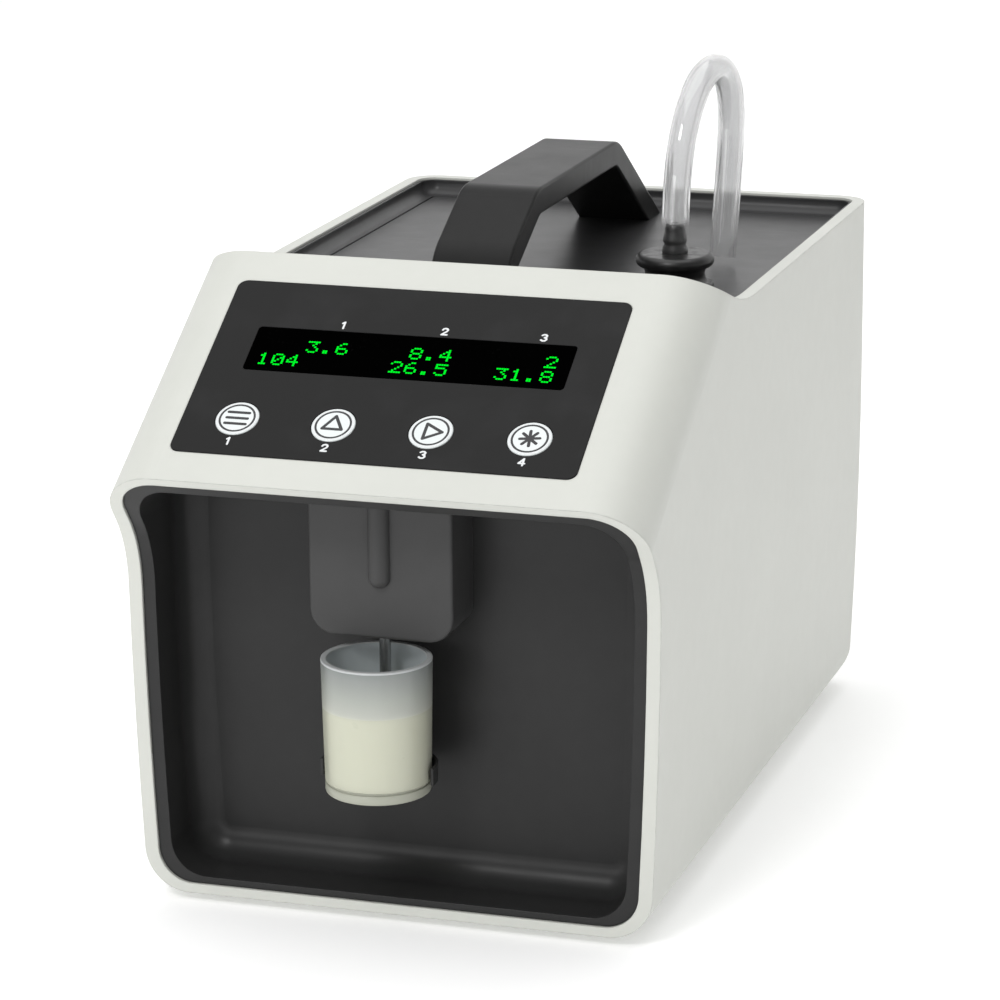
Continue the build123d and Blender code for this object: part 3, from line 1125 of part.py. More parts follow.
with BuildPart() as cell_heater:
    with Locations((CELL_X, CELL_Y, CELL_LOW_Z - HEATER_T / 2)):
        Box(CELL_W - 2, CELL_L - 6, HEATER_T)
finish(cell_heater.part, "cell_heater")

# A bridge of folded sheet: two feet, two legs and the shelf under the heater.
SHELF_TOP_Z = CELL_LOW_Z - HEATER_T
shelf_l = CELL_L + 8
with BuildPart() as cell_bracket:
    with Locations((CELL_X, CELL_Y, SHELF_TOP_Z - BRACKET_T / 2)):
        Box(CELL_W, shelf_l, BRACKET_T)
    for side, (_, foot_y) in zip((-1, 1), CELL_FOOT_SPOTS):
        leg_y = CELL_Y + side * (shelf_l / 2 - BRACKET_T / 2)
        with Locations((CELL_X, leg_y, (CHASSIS_TOP_Z + SHELF_TOP_Z) / 2)):
            Box(CELL_W, BRACKET_T, SHELF_TOP_Z - CHASSIS_TOP_Z)
        reach = abs(foot_y - leg_y) + 6
        with Locations((CELL_X, leg_y + side * (reach / 2 - BRACKET_T / 2), CHASSIS_TOP_Z + BRACKET_T / 2)):
            Box(CELL_W, reach, BRACKET_T)
    with BuildSketch(Plane.XY.offset(CHASSIS_TOP_Z)):
        with Locations(*CELL_FOOT_SPOTS):
            Circle(CHASSIS_THREAD_R + 0.1)
    extrude(amount=BRACKET_T, mode=Mode.SUBTRACT)
finish(cell_bracket.part, "cell_bracket")

# Tubes from the elbow to the cell, from the cell to the pump, and from the pump to the port.
in_x, in_y = CELL_PORTS[0]
out_x, out_y = CELL_PORTS[1]
left_x, loop_y = LOOP_ENDS[0]
right_x = LOOP_ENDS[1][0]
cell_seat_z = CELL_TOP_Z + 2
port_seat_z = TRAY_TOP_Z - PORT_STEM_L

inlet_points = [(SAMPLER_X, ELBOW_BACK_Y, SPIGOT_Z), (SAMPLER_X, ELBOW_BACK_Y + 18, SPIGOT_Z),
                (in_x + 10, in_y - 8, SPIGOT_Z - 18), (in_x, in_y, cell_seat_z + 34), (in_x, in_y, cell_seat_z)]
transfer_points = [(out_x, out_y, cell_seat_z), (out_x, out_y, cell_seat_z + 30),
                   (out_x + 14, out_y + 18, cell_seat_z + 56), (left_x - 10, loop_y - 18, COUPLING_TOP_Z + 52),
                   (left_x, loop_y, COUPLING_TOP_Z + 26), (left_x, loop_y, COUPLING_TOP_Z)]
drain_points = [(right_x, loop_y, COUPLING_TOP_Z), (right_x, loop_y, COUPLING_TOP_Z + 16),
                (PORT_X, PORT_Y + 8, port_seat_z - 38), (PORT_X, PORT_Y, port_seat_z - 18),
                (PORT_X, PORT_Y, port_seat_z)]
finish(tube(smooth_route(inlet_points, "inlet_tube"), TUBE_OD / 2, TUBE_ID / 2), "inlet_tube")
finish(tube(smooth_route(transfer_points, "transfer_tube"), TUBE_OD / 2, TUBE_ID / 2), "transfer_tube")
finish(tube(smooth_route(drain_points, "drain_tube"), TUBE_OD / 2, TUBE_ID / 2), "drain_tube")

# Service panel in the rear wall, with the switch, power inlet, data port and vents

SEAT_Y = REAR_Y - SERVICE_SEAT
PLATE_Y = SEAT_Y + SERVICE_T
SWITCH_X = -32.0
INLET_X = -8.0
USB_X = 12.0
VENT_XS = [29 + 4 * i for i in range(4)]
SWITCH_W = 13.0
SWITCH_H = 20.0
INLET_STEM_R = 4.5
INLET_BORE_R = 2.75
USB_W = 12.0
USB_H = 11.0

with BuildPart() as rear_panel:
    with BuildSketch(Plane.XZ.offset(-SEAT_Y)):
        with Locations((0, SERVICE_Z)):
            RectangleRounded(SERVICE_W - 0.4, SERVICE_H - 0.4, 3.8)
        with Locations(*SERVICE_SCREWS):
            Circle(1.6, mode=Mode.SUBTRACT)
        with Locations((SWITCH_X, SERVICE_Z)):
            Rectangle(SWITCH_W + 0.1, SWITCH_H + 0.1, mode=Mode.SUBTRACT)
        with Locations((INLET_X, SERVICE_Z)):
            Circle(INLET_STEM_R + 0.05, mode=Mode.SUBTRACT)
        with Locations((USB_X, SERVICE_Z)):
            Rectangle(USB_W + 0.2, USB_H + 0.2, mode=Mode.SUBTRACT)
        with Locations(*[(x, SERVICE_Z) for x in VENT_XS]):
            SlotOverall(30, 2, rotation=90, mode=Mode.SUBTRACT)
    extrude(amount=-SERVICE_T)
finish(rear_panel.part, "rear_panel")

outward = Plane(origin=(0, PLATE_Y, 0), x_dir=(-1, 0, 0), z_dir=(0, 1, 0))
finish(screws(outward, [(-x, z) for x, z in SERVICE_SCREWS], 1.3,
              SERVICE_T + SIDE_WALL - SERVICE_SEAT, 2.6, 1.3), "rear_panel_screws")

ROCKER_Y = REAR_Y - 6.0
ROCKER_PIN_R = 1.2
with BuildPart() as power_switch_frame:
    with Locations((SWITCH_X, PLATE_Y - 9, SERVICE_Z)):
        Box(SWITCH_W, 18, SWITCH_H)
    with Locations((SWITCH_X, PLATE_Y + 0.6, SERVICE_Z)):
        Box(SWITCH_W + 3, 1.2, SWITCH_H + 3)
    with Locations((SWITCH_X, PLATE_Y + 1.2 - 7, SERVICE_Z)):
        Box(9.8, 14, 17, mode=Mode.SUBTRACT)
    with BuildSketch(Plane.YZ.offset(SWITCH_X - 5.7)):
        with Locations((ROCKER_Y, SERVICE_Z)):
            Circle(ROCKER_PIN_R + 0.05)
    extrude(amount=11.4, mode=Mode.SUBTRACT)
finish(power_switch_frame.part, "power_switch_frame")

# The rocker stands in its off position, tilted by half of its travel.
ROCKER_TILT = 10.0
rocker_slope = math.radians(ROCKER_TILT)
rocker_plane = Plane(origin=(SWITCH_X - 4.7, ROCKER_Y, SERVICE_Z),
                     x_dir=(0, math.cos(rocker_slope), -math.sin(rocker_slope)), z_dir=(1, 0, 0))
with BuildPart() as power_rocker:
    with BuildSketch(rocker_plane):
        with BuildLine():
            Polyline((4.6, 7.2), (3.3, 0), (4.6, -7.2), (3.2, -7.4), (-2.4, -2.4), (-2.4, 2.4), (3.2, 7.4),
                     close=True)
        make_face()
    extrude(amount=9.4)
    with BuildSketch(Plane.YZ.offset(SWITCH_X - 5.5)):
        with Locations((ROCKER_Y, SERVICE_Z)):
            Circle(ROCKER_PIN_R)
    extrude(amount=11.0)
finish(power_rocker.part, "power_rocker")

with BuildPart() as dc_inlet:
    with BuildSketch(Plane.XZ.offset(-SEAT_Y)):
        with Locations((INLET_X, SERVICE_Z)):
            Circle(7)
    extrude(amount=13)
    with BuildSketch(Plane.XZ.offset(-SEAT_Y)):
        with Locations((INLET_X, SERVICE_Z)):
            Circle(INLET_STEM_R)
    extrude(amount=-SERVICE_SEAT + 0.3)
    with BuildSketch(Plane.XZ.offset(-REAR_Y)):
        with Locations((INLET_X, SERVICE_Z)):
            Circle(INLET_BORE_R)
            Circle(1.0, mode=Mode.SUBTRACT)
    extrude(amount=10, mode=Mode.SUBTRACT)
finish(dc_inlet.part, "dc_inlet")

with BuildPart() as usb_port:
    with Locations((USB_X, REAR_Y - 1.0 - 8, SERVICE_Z)):
        Box(USB_W, 16, USB_H)
    with BuildSketch(Plane.XZ.offset(-REAR_Y)) as usb_mouth:
        with Locations((USB_X, SERVICE_Z)):
            Rectangle(8.6, 8.0)
        chamfer(usb_mouth.vertices().group_by(Axis.Y)[-1], 1.6)
    extrude(amount=10, mode=Mode.SUBTRACT)
    with Locations((USB_X, REAR_Y - 6, SERVICE_Z)):
        Box(5.6, 8, 3.2)
finish(usb_port.part, "usb_port")
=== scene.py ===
"""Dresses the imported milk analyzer: finishes, display figures, key symbols, hose, cup, light and camera."""

from __future__ import annotations

import logging
import math
from dataclasses import dataclass
from enum import Enum
from typing import Any, Dict, List, Optional, Sequence, Tuple, Union

import bmesh
import bpy
from mathutils import Matrix, Vector

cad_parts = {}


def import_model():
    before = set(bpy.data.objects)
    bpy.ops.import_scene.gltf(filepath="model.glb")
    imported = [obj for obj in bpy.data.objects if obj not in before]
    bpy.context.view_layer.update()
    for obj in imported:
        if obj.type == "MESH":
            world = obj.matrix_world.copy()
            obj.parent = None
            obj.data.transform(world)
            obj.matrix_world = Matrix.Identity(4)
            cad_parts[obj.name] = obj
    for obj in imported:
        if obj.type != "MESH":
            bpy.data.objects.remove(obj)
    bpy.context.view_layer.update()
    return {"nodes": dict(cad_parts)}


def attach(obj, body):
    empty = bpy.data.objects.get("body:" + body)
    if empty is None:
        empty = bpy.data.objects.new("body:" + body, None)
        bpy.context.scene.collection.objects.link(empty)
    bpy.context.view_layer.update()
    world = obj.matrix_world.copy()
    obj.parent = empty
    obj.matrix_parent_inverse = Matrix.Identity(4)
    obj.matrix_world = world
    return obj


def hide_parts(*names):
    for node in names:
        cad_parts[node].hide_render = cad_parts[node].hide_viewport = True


LOG = logging.getLogger("milk_analyzer")
MM = 0.001
BODY = "instrument"
BMesh = bmesh.types.BMesh
BMVert = bmesh.types.BMVert
Colour = Tuple[float, float, float]
Point = Tuple[float, float, float]
Pair = Tuple[float, float]
Feed = Union[float, int, tuple, "Signal"]


class Signal:
    """A shader socket that takes part in Python expressions."""

    def __init__(self, graph: "Graph", socket: bpy.types.NodeSocket) -> None:
        """Wraps one output socket of a graph's node."""
        self.graph = graph
        self.socket = socket

    def _math(self, operation: str, first: Feed, second: Feed) -> "Signal":
        """Adds one Math node on two values and returns its output."""
        node = self.graph.node("ShaderNodeMath", {"operation": operation}, {0: first, 1: second})
        return Signal(self.graph, node.outputs[0])

    def __add__(self, other: Feed) -> "Signal":
        """Sum."""
        return self._math("ADD", self, other)

    def __radd__(self, other: Feed) -> "Signal":
        """Sum with the number first."""
        return self._math("ADD", other, self)

    def __sub__(self, other: Feed) -> "Signal":
        """Difference."""
        return self._math("SUBTRACT", self, other)

    def __rsub__(self, other: Feed) -> "Signal":
        """Difference with the number first."""
        return self._math("SUBTRACT", other, self)

    def __mul__(self, other: Feed) -> "Signal":
        """Product."""
        return self._math("MULTIPLY", self, other)

    def __rmul__(self, other: Feed) -> "Signal":
        """Product with the number first."""
        return self._math("MULTIPLY", other, self)

    def __pow__(self, other: Feed) -> "Signal":
        """Power."""
        return self._math("POWER", self, other)

    def above(self, low: float, high: float) -> "Signal":
        """Rises from 0 at low to 1 at high, held at both ends.

        Args:
            low: Value at which the result is 0.
            high: Value at which the result is 1. It may be below low, and the result then falls.

        Returns:
            The mapped signal.
        """
        node = self.graph.node(
            "ShaderNodeMapRange", {"clamp": True}, {"Value": self, "From Min": low, "From Max": high}
        )
        return Signal(self.graph, node.outputs[0])


class Graph:
    """The node graph of one material."""

    def __init__(self, name: str) -> None:
        """Makes an empty material of that name."""
        self.material = bpy.data.materials.new(name)
        self.material.use_nodes = True
        self.tree = self.material.node_tree
        self.tree.nodes.clear()
        self._place: Optional[bpy.types.NodeSocket] = None

    def node(self, kind: str, settings: Dict[str, Any], inputs: Dict[Any, Any]) -> bpy.types.Node:
        """Adds a node.

        Args:
            kind: Blender's type name of the node.
            settings: Attributes set before the sockets.
            inputs: Values or links by socket name or number.

        Returns:
            The new node.
        """
        made = self.tree.nodes.new(kind)
        for key, value in settings.items():
            setattr(made, key, value)
        for key, value in inputs.items():
            if isinstance(value, Signal):
                self.tree.links.new(value.socket, made.inputs[key])
            elif isinstance(value, bpy.types.NodeSocket):
                self.tree.links.new(value, made.inputs[key])
            else:
                made.inputs[key].default_value = value
        return made

    def place(self) -> bpy.types.NodeSocket:
        """The position on the object, in metres of the row frame at rest."""
        if self._place is None:
            self._place = self.node("ShaderNodeTexCoord", {}, {}).outputs["Object"]
        return self._place

    def axis(self, index: int) -> Signal:
        """One coordinate of the position in metres at rest: 0 for x, 1 for y, 2 for z."""
        return Signal(self, self.node("ShaderNodeSeparateXYZ", {}, {0: self.place()}).outputs[index])

    def height(self) -> Signal:
        """The height above the ground, in metres at rest."""
        return self.axis(2)

    def noise(self, size: float, detail: float = 2.0, stretch: Point = (1, 1, 1),
              rough: float = 0.5) -> Signal:
        """Noise whose blotches are about one size across.

        Args:
            size: Distance between blotches in metres.
            detail: Octaves below that size.
            stretch: Factors on the coordinates, below 1 for longer blotches.
            rough: How strongly the finer octaves show.

        Returns:
            Noise from 0 to 1.
        """
        mapped = self.node("ShaderNodeMapping", {"vector_type": "POINT"},
                           {"Vector": self.place(), "Scale": stretch})
        made = self.node(
            "ShaderNodeTexNoise",
            {},
            {"Vector": mapped.outputs[0], "Scale": 1.0 / size, "Detail": detail, "Roughness": rough},
        )
        return Signal(self, made.outputs["Fac"])

    def mix(self, factor: Feed, first: Any, second: Any) -> bpy.types.NodeSocket:
        """Blends two colours by a factor."""
        feeds = [(*c, 1.0) if isinstance(c, tuple) else c for c in (first, second)]
        made = self.node("ShaderNodeMix", {"data_type": "RGBA"}, {0: factor, 6: feeds[0], 7: feeds[1]})
        return made.outputs[2]

    def bump(self, height: Signal, depth: float, under: Any = None) -> bpy.types.NodeSocket:
        """Turns a height into a surface normal.

        Args:
            height: Height from 0 to 1.
            depth: Height in metres that 1 stands for.
            under: Normal that the bump is laid on.

        Returns:
            The normal socket.
        """
        inputs = {"Height": height, "Distance": depth, "Strength": 1.0}
        if under is not None:
            inputs["Normal"] = under
        return self.node("ShaderNodeBump", {}, inputs).outputs[0]

    def soft_edges(self, radius: float) -> bpy.types.NodeSocket:
        """A normal that rounds sharp edges by a radius in metres."""
        return self.node("ShaderNodeBevel", {"samples": 4}, {"Radius": radius}).outputs[0]

    def surface(self, **values: Any) -> bpy.types.Material:
        """Ends the graph in a Principled surface with the given sockets, and returns the material."""
        named = {key.replace("_", " ").title(): value for key, value in values.items()}
        renames = {"Ior": "IOR", "Specular Ior Level": "Specular IOR Level"}
        inputs = {renames.get(key, key): value for key, value in named.items()}
        for key, value in inputs.items():
            if isinstance(value, tuple) and len(value) == 3 and "Color" in key:
                inputs[key] = (*value, 1.0)
        shader = self.node("ShaderNodeBsdfPrincipled", {}, inputs)
        self.node("ShaderNodeOutputMaterial", {}, {"Surface": shader.outputs[0]})
        return self.material


@dataclass(frozen=True)
class Finish:
    """One finish of the instrument, built as a material when first used."""

    name: str
    slot: str

    def build(self, graph: Graph) -> bpy.types.Material:
        """Builds the material. Each kind of finish gives its own."""
        raise NotImplementedError

    def material(self) -> bpy.types.Material:
        """The finish's material, made once."""
        found = bpy.data.materials.get(self.name)
        return found if found is not None else self.build(Graph(self.name))


@dataclass(frozen=True)
class MouldedPlastic(Finish):
    """Injection-moulded plastic with a spark-eroded grain, faint mottling, softened edges and a painted
    highlight in patches along its edges.
    """

    colour: Colour = (0.8, 0.8, 0.8)
    shade: Colour = (0.7, 0.7, 0.7)
    roughness: float = 0.45
    grain: float = 0.00045
    grain_depth: float = 0.00002
    edge: float = 0.0006
    edge_colour: Optional[Colour] = None
    specular: float = 0.5

    def build(self, graph: Graph) -> bpy.types.Material:
        """Builds mottled colour, the painted edge highlight, uneven gloss and the grain's bump."""
        cloud = graph.noise(0.055, 3.0)
        fine = graph.noise(0.006, 2.0)
        colour = graph.mix((cloud * 0.7 + fine * 0.3).above(0.35, 0.65), self.colour, self.shade)
        rounded = graph.soft_edges(self.edge)
        # Painted highlight: where the rounded normal turns away from the face's normal, the edges are painted
        # lighter in patches.
        if self.edge_colour is not None:
            facing = graph.node("ShaderNodeNewGeometry", {}, {}).outputs["Normal"]
            dot = graph.node("ShaderNodeVectorMath", {"operation": "DOT_PRODUCT"}, {0: facing, 1: rounded})
            turned = Signal(graph, dot.outputs["Value"]).above(0.995, 0.93)
            edge_highlight = turned * graph.noise(0.004, 3.0).above(0.42, 0.62)
            colour = graph.mix(edge_highlight * 0.6, colour, self.edge_colour)
        grain = graph.noise(self.grain, 2.0, rough=0.6)
        rough = graph.noise(0.012, 3.0) * 0.08 + (self.roughness - 0.04)
        rubbed = graph.noise(0.02, 2.0, stretch=(1, 6, 1)).above(0.62, 0.8) * -0.04
        return graph.surface(
            base_color=colour,
            roughness=rough + rubbed,
            specular_ior_level=self.specular,
            normal=graph.bump(grain, self.grain_depth, rounded),
        )


@dataclass(frozen=True)
class Rubber(Finish):
    """Matt black rubber with a dusty bloom in patches."""

    colour: Colour = (0.012, 0.012, 0.012)
    bloom: Colour = (0.05, 0.05, 0.048)
    roughness: float = 0.5

    def build(self, graph: Graph) -> bpy.types.Material:
        """Builds the bloom and the fine skin texture."""
        dusty = graph.noise(0.004, 4.0).above(0.45, 0.75)
        skin = graph.noise(0.0006, 2.0)
        return graph.surface(
            base_color=graph.mix(dusty * 0.5, self.colour, self.bloom),
            roughness=dusty * 0.2 + self.roughness,
            normal=graph.bump(skin, 0.00003, graph.soft_edges(0.0005)),
        )


@dataclass(frozen=True)
class Metal(Finish):
    """Machined or drawn metal with fine lines along one axis."""

    colour: Colour = (0.6, 0.6, 0.6)
    dull: Colour = (0.4, 0.4, 0.4)
    roughness: float = 0.28
    lines: Point = (1, 1, 0.04)
    line_size: float = 0.0004

    def build(self, graph: Graph) -> bpy.types.Material:
        """Builds tarnish, drawn lines and their bump."""
        tarnish = graph.noise(0.01, 4.0).above(0.4, 0.7)
        drawn = graph.noise(self.line_size, 2.0, stretch=self.lines)
        return graph.surface(
            base_color=graph.mix(tarnish * 0.5, self.colour, self.dull),
            metallic=1.0,
            roughness=drawn * 0.12 + (self.roughness - 0.06) + tarnish * 0.06,
            normal=graph.bump(drawn, 0.000006, graph.soft_edges(0.0003)),
        )


@dataclass(frozen=True)
class Clear(Finish):
    """Clear or milky plastic that lets light through."""

    colour: Colour = (0.9, 0.92, 0.94)
    transmission: float = 0.9
    roughness: float = 0.06
    ior: float = 1.42
    haze: float = 0.04

    def build(self, graph: Graph) -> bpy.types.Material:
        """Builds fine handling haze and slight waviness."""
        smear = graph.noise(0.006, 4.0, stretch=(1, 1, 0.4)).above(0.45, 0.8)
        wave = graph.noise(0.004, 2.0, stretch=(1, 1, 0.3))
        return graph.surface(
            base_color=self.colour,
            roughness=smear * self.haze + self.roughness,
            transmission_weight=self.transmission,
            ior=self.ior,
            normal=graph.bump(wave, 0.00004),
        )


@dataclass(frozen=True)
class SoftHose(Finish):
    """Clear soft hose, a little cloudy. It is clear over the barb and clearer at its cut end.

    Attributes:
        colour: Colour of its haze.
        barb: Heights in metres between which the end over the barb turns cloudy.
        barb_cover: How much the hose covers there.
        cut: Heights between which the cut end turns cloudy.
        cut_cover: How much the hose covers there.
        between: Places along y that part the hanging end from the one on the port.
    """

    colour: Colour = (0.92, 0.922, 0.925)
    barb: Pair = (0.2175, 0.2215)
    barb_cover: float = 0.035
    cut: Pair = (0.206, 0.226)
    cut_cover: float = 0.6
    between: Pair = (0.040, 0.028)

    def build(self, graph: Graph) -> bpy.types.Material:
        """Builds long drawing lines, handling haze and the clearer ends."""
        drawn = graph.noise(0.0016, 2.0, stretch=(1, 1, 0.05))
        smear = graph.noise(0.006, 4.0, stretch=(1, 1, 0.4)).above(0.45, 0.8)
        height = graph.height()
        over_barb = height.above(*self.barb) * (1.0 - self.barb_cover) + self.barb_cover
        at_cut = height.above(*self.cut) * (1.0 - self.cut_cover) + self.cut_cover
        standing = graph.axis(1).above(*self.between)
        return graph.surface(
            base_color=graph.mix(drawn, self.colour, tuple(0.96 * c for c in self.colour)),
            roughness=smear * 0.05 + 0.03,
            alpha=at_cut + standing * (over_barb - at_cut),
            transmission_weight=0.74,
            ior=1.34,
            coat_weight=0.6,
            normal=graph.bump(drawn, 0.000008),
        )


@dataclass(frozen=True)
class Milky(Finish):
    """Milky plastic: a cloudy skin that dims what lies behind it."""

    colour: Colour = (0.36, 0.385, 0.39)
    cover: float = 0.9
    roughness: float = 0.3

    def skin(self, graph: Graph) -> Tuple[bpy.types.NodeSocket, Signal]:
        """The skin's colour and how much it covers."""
        cloud = graph.noise(0.009, 3.0, stretch=(1, 1, 0.35))
        colour = graph.mix(cloud, tuple(0.94 * c for c in self.colour), self.colour)
        return colour, cloud * 0.04 + (self.cover - 0.02)

    def build(self, graph: Graph) -> bpy.types.Material:
        """Builds the cloudy skin and its flow marks."""
        colour, cover = self.skin(graph)
        wave = graph.noise(0.003, 2.0, stretch=(1, 1, 0.3))
        return graph.surface(
            base_color=colour,
            roughness=graph.noise(0.009, 3.0) * 0.12 + (self.roughness - 0.06),
            alpha=cover,
            specular_ior_level=0.4,
            normal=graph.bump(wave, 0.00002),
        )


@dataclass(frozen=True)
class Filmed(Milky):
    """The cup's wall: a film of milk clings to it above the milk and thins upward.

    Attributes:
        film: Colour of the film where it is thickest.
        film_top: Height in metres where it ends.
        line: Height of the milk.
        film_cover: How much the film covers at the milk's line.
        wet: Colour of the wall below the milk's line.
        wet_cover: How much the wall covers there.
        lining: Colour of the wall's inside above the milk, lighter and bluer than the outside: a painted
            reflection of light on the inner face.
        lining_cover: How much that covers.
        axis: x and y of the cup's middle, in metres.
        taper: How much the wall's radius grows for each metre of height.
        middle: Radii, less the taper, between which outside turns to inside.
    """

    film: Colour = (0.56, 0.575, 0.515)
    film_top: float = 0.096
    line: float = 0.079
    film_cover: float = 0.82
    wet: Colour = (0.74, 0.75, 0.62)
    wet_cover: float = 0.58
    lining: Colour = (0.56, 0.61, 0.64)
    lining_cover: float = 0.86
    axis: Pair = (-0.005, -0.1428)
    taper: float = 0.0201
    middle: Pair = (0.0166, 0.0163)

    def skin(self, graph: Graph) -> Tuple[bpy.types.NodeSocket, Signal]:
        """The skin's colour and cover, by height above and below the milk's line and by the wall's side; the
        inner side above the milk takes a painted reflection.
        """
        colour, cover = super().skin(graph)
        height = graph.height()
        across, along = (graph.axis(i) - self.axis[i] for i in range(2))
        radius = (across * across + along * along) ** 0.5
        inside = (radius - height * self.taper).above(*self.middle)
        filmed = height.above(self.film_top, self.line)
        sharp = 0.0001
        dipped = height.above(self.line + sharp, self.line - sharp)
        # Painted reflection: the inner face above the milk gets the lighter, bluer colour set for the inside.
        dry = graph.mix(inside, graph.mix(filmed, colour, self.film), self.lining)
        cover = cover + filmed * (self.film_cover - self.cover)
        cover = cover + inside * (self.lining_cover - cover)
        return graph.mix(dipped, dry, self.wet), cover + dipped * (self.wet_cover - cover)


@dataclass(frozen=True)
class Milk(Finish):
    """Opaque cream-coloured liquid."""

    colour: Colour = (0.70, 0.705, 0.57)

    def build(self, graph: Graph) -> bpy.types.Material:
        """Builds the liquid with slight clouds and scattering below its surface."""
        cloud = graph.noise(0.008, 3.0)
        return graph.surface(
            base_color=graph.mix(cloud.above(0.3, 0.7), self.colour, tuple(0.96 * c for c in self.colour)),
            roughness=graph.noise(0.003, 2.0) * 0.1 + 0.2,
            subsurface_weight=0.4,
            subsurface_scale=0.004,
            subsurface_radius=(1.0, 0.8, 0.6),
        )


@dataclass(frozen=True)
class PrintedFilm(Finish):
    """Matt printed membrane film with a fine orange-peel texture."""

    colour: Colour = (0.031, 0.031, 0.031)

    def build(self, graph: Graph) -> bpy.types.Material:
        """Builds the film's fine texture and faint finger marks."""
        smear = graph.noise(0.018, 4.0).above(0.5, 0.75)
        peel = graph.noise(0.00035, 1.0)
        return graph.surface(
            base_color=graph.mix(smear * 0.35, self.colour, (0.017, 0.017, 0.018)),
            roughness=smear * -0.08 + 0.55,
            specular_ior_level=0.15,
            normal=graph.bump(peel, 0.00001, graph.soft_edges(0.0003)),
        )


@dataclass(frozen=True)
class Glass(Finish):
    """Black display window with a gloss face and light dust."""

    colour: Colour = (0.0005, 0.0005, 0.0005)

    def build(self, graph: Graph) -> bpy.types.Material:
        """Builds the gloss face with dust specks."""
        dust = graph.noise(0.0009, 3.0).above(0.66, 0.72)
        return graph.surface(
            base_color=graph.mix(dust * 0.25, self.colour, (0.01, 0.01, 0.01)),
            roughness=dust * 0.3 + 0.12 + graph.noise(0.02, 2.0) * 0.06,
            specular_ior_level=0.0,
        )


@dataclass(frozen=True)
class Lit(Finish):
    """Glowing display figures."""

    glow: Colour = (0.0, 0.75, 0.02)
    strength: float = 1.6

    def build(self, graph: Graph) -> bpy.types.Material:
        """Builds dots that glow a little unevenly."""
        uneven = graph.noise(0.0016, 2.0)
        low = tuple(0.8 * c for c in self.glow)
        return graph.surface(
            base_color=(0.0, 0.02, 0.0),
            roughness=0.5,
            specular_ior_level=0.0,
            emission_color=graph.mix(uneven, low, self.glow),
            emission_strength=self.strength,
        )


@dataclass(frozen=True)
class Ink(Finish):
    """Screen-printed ink lying on film or plastic."""

    colour: Colour = (0.8, 0.82, 0.83)

    def build(self, graph: Graph) -> bpy.types.Material:
        """Builds slightly uneven ink."""
        body = graph.noise(0.0008, 3.0)
        shade = tuple(0.9 * c for c in self.colour)
        return graph.surface(
            base_color=graph.mix(body, shade, self.colour),
            roughness=body * 0.1 + 0.4,
            normal=graph.bump(body, 0.000008),
        )


@dataclass(frozen=True)
class CircuitBoard(Finish):
    """Green solder mask with copper tracks under it."""

    def build(self, graph: Graph) -> bpy.types.Material:
        """Builds tracks from two crossed bands of noise."""
        across = graph.noise(0.0016, 0.0, stretch=(1, 0.06, 1)).above(0.52, 0.55)
        along = graph.noise(0.0016, 0.0, stretch=(0.06, 1, 1)).above(0.55, 0.58)
        tracks = (across + along).above(0.2, 0.8)
        return graph.surface(
            base_color=graph.mix(tracks, (0.004, 0.06, 0.018), (0.012, 0.13, 0.045)),
            roughness=tracks * 0.08 + 0.3,
            normal=graph.bump(tracks, 0.00002),
        )


def grey(level: float) -> Colour:
    """A neutral colour."""
    return (level, level, level)


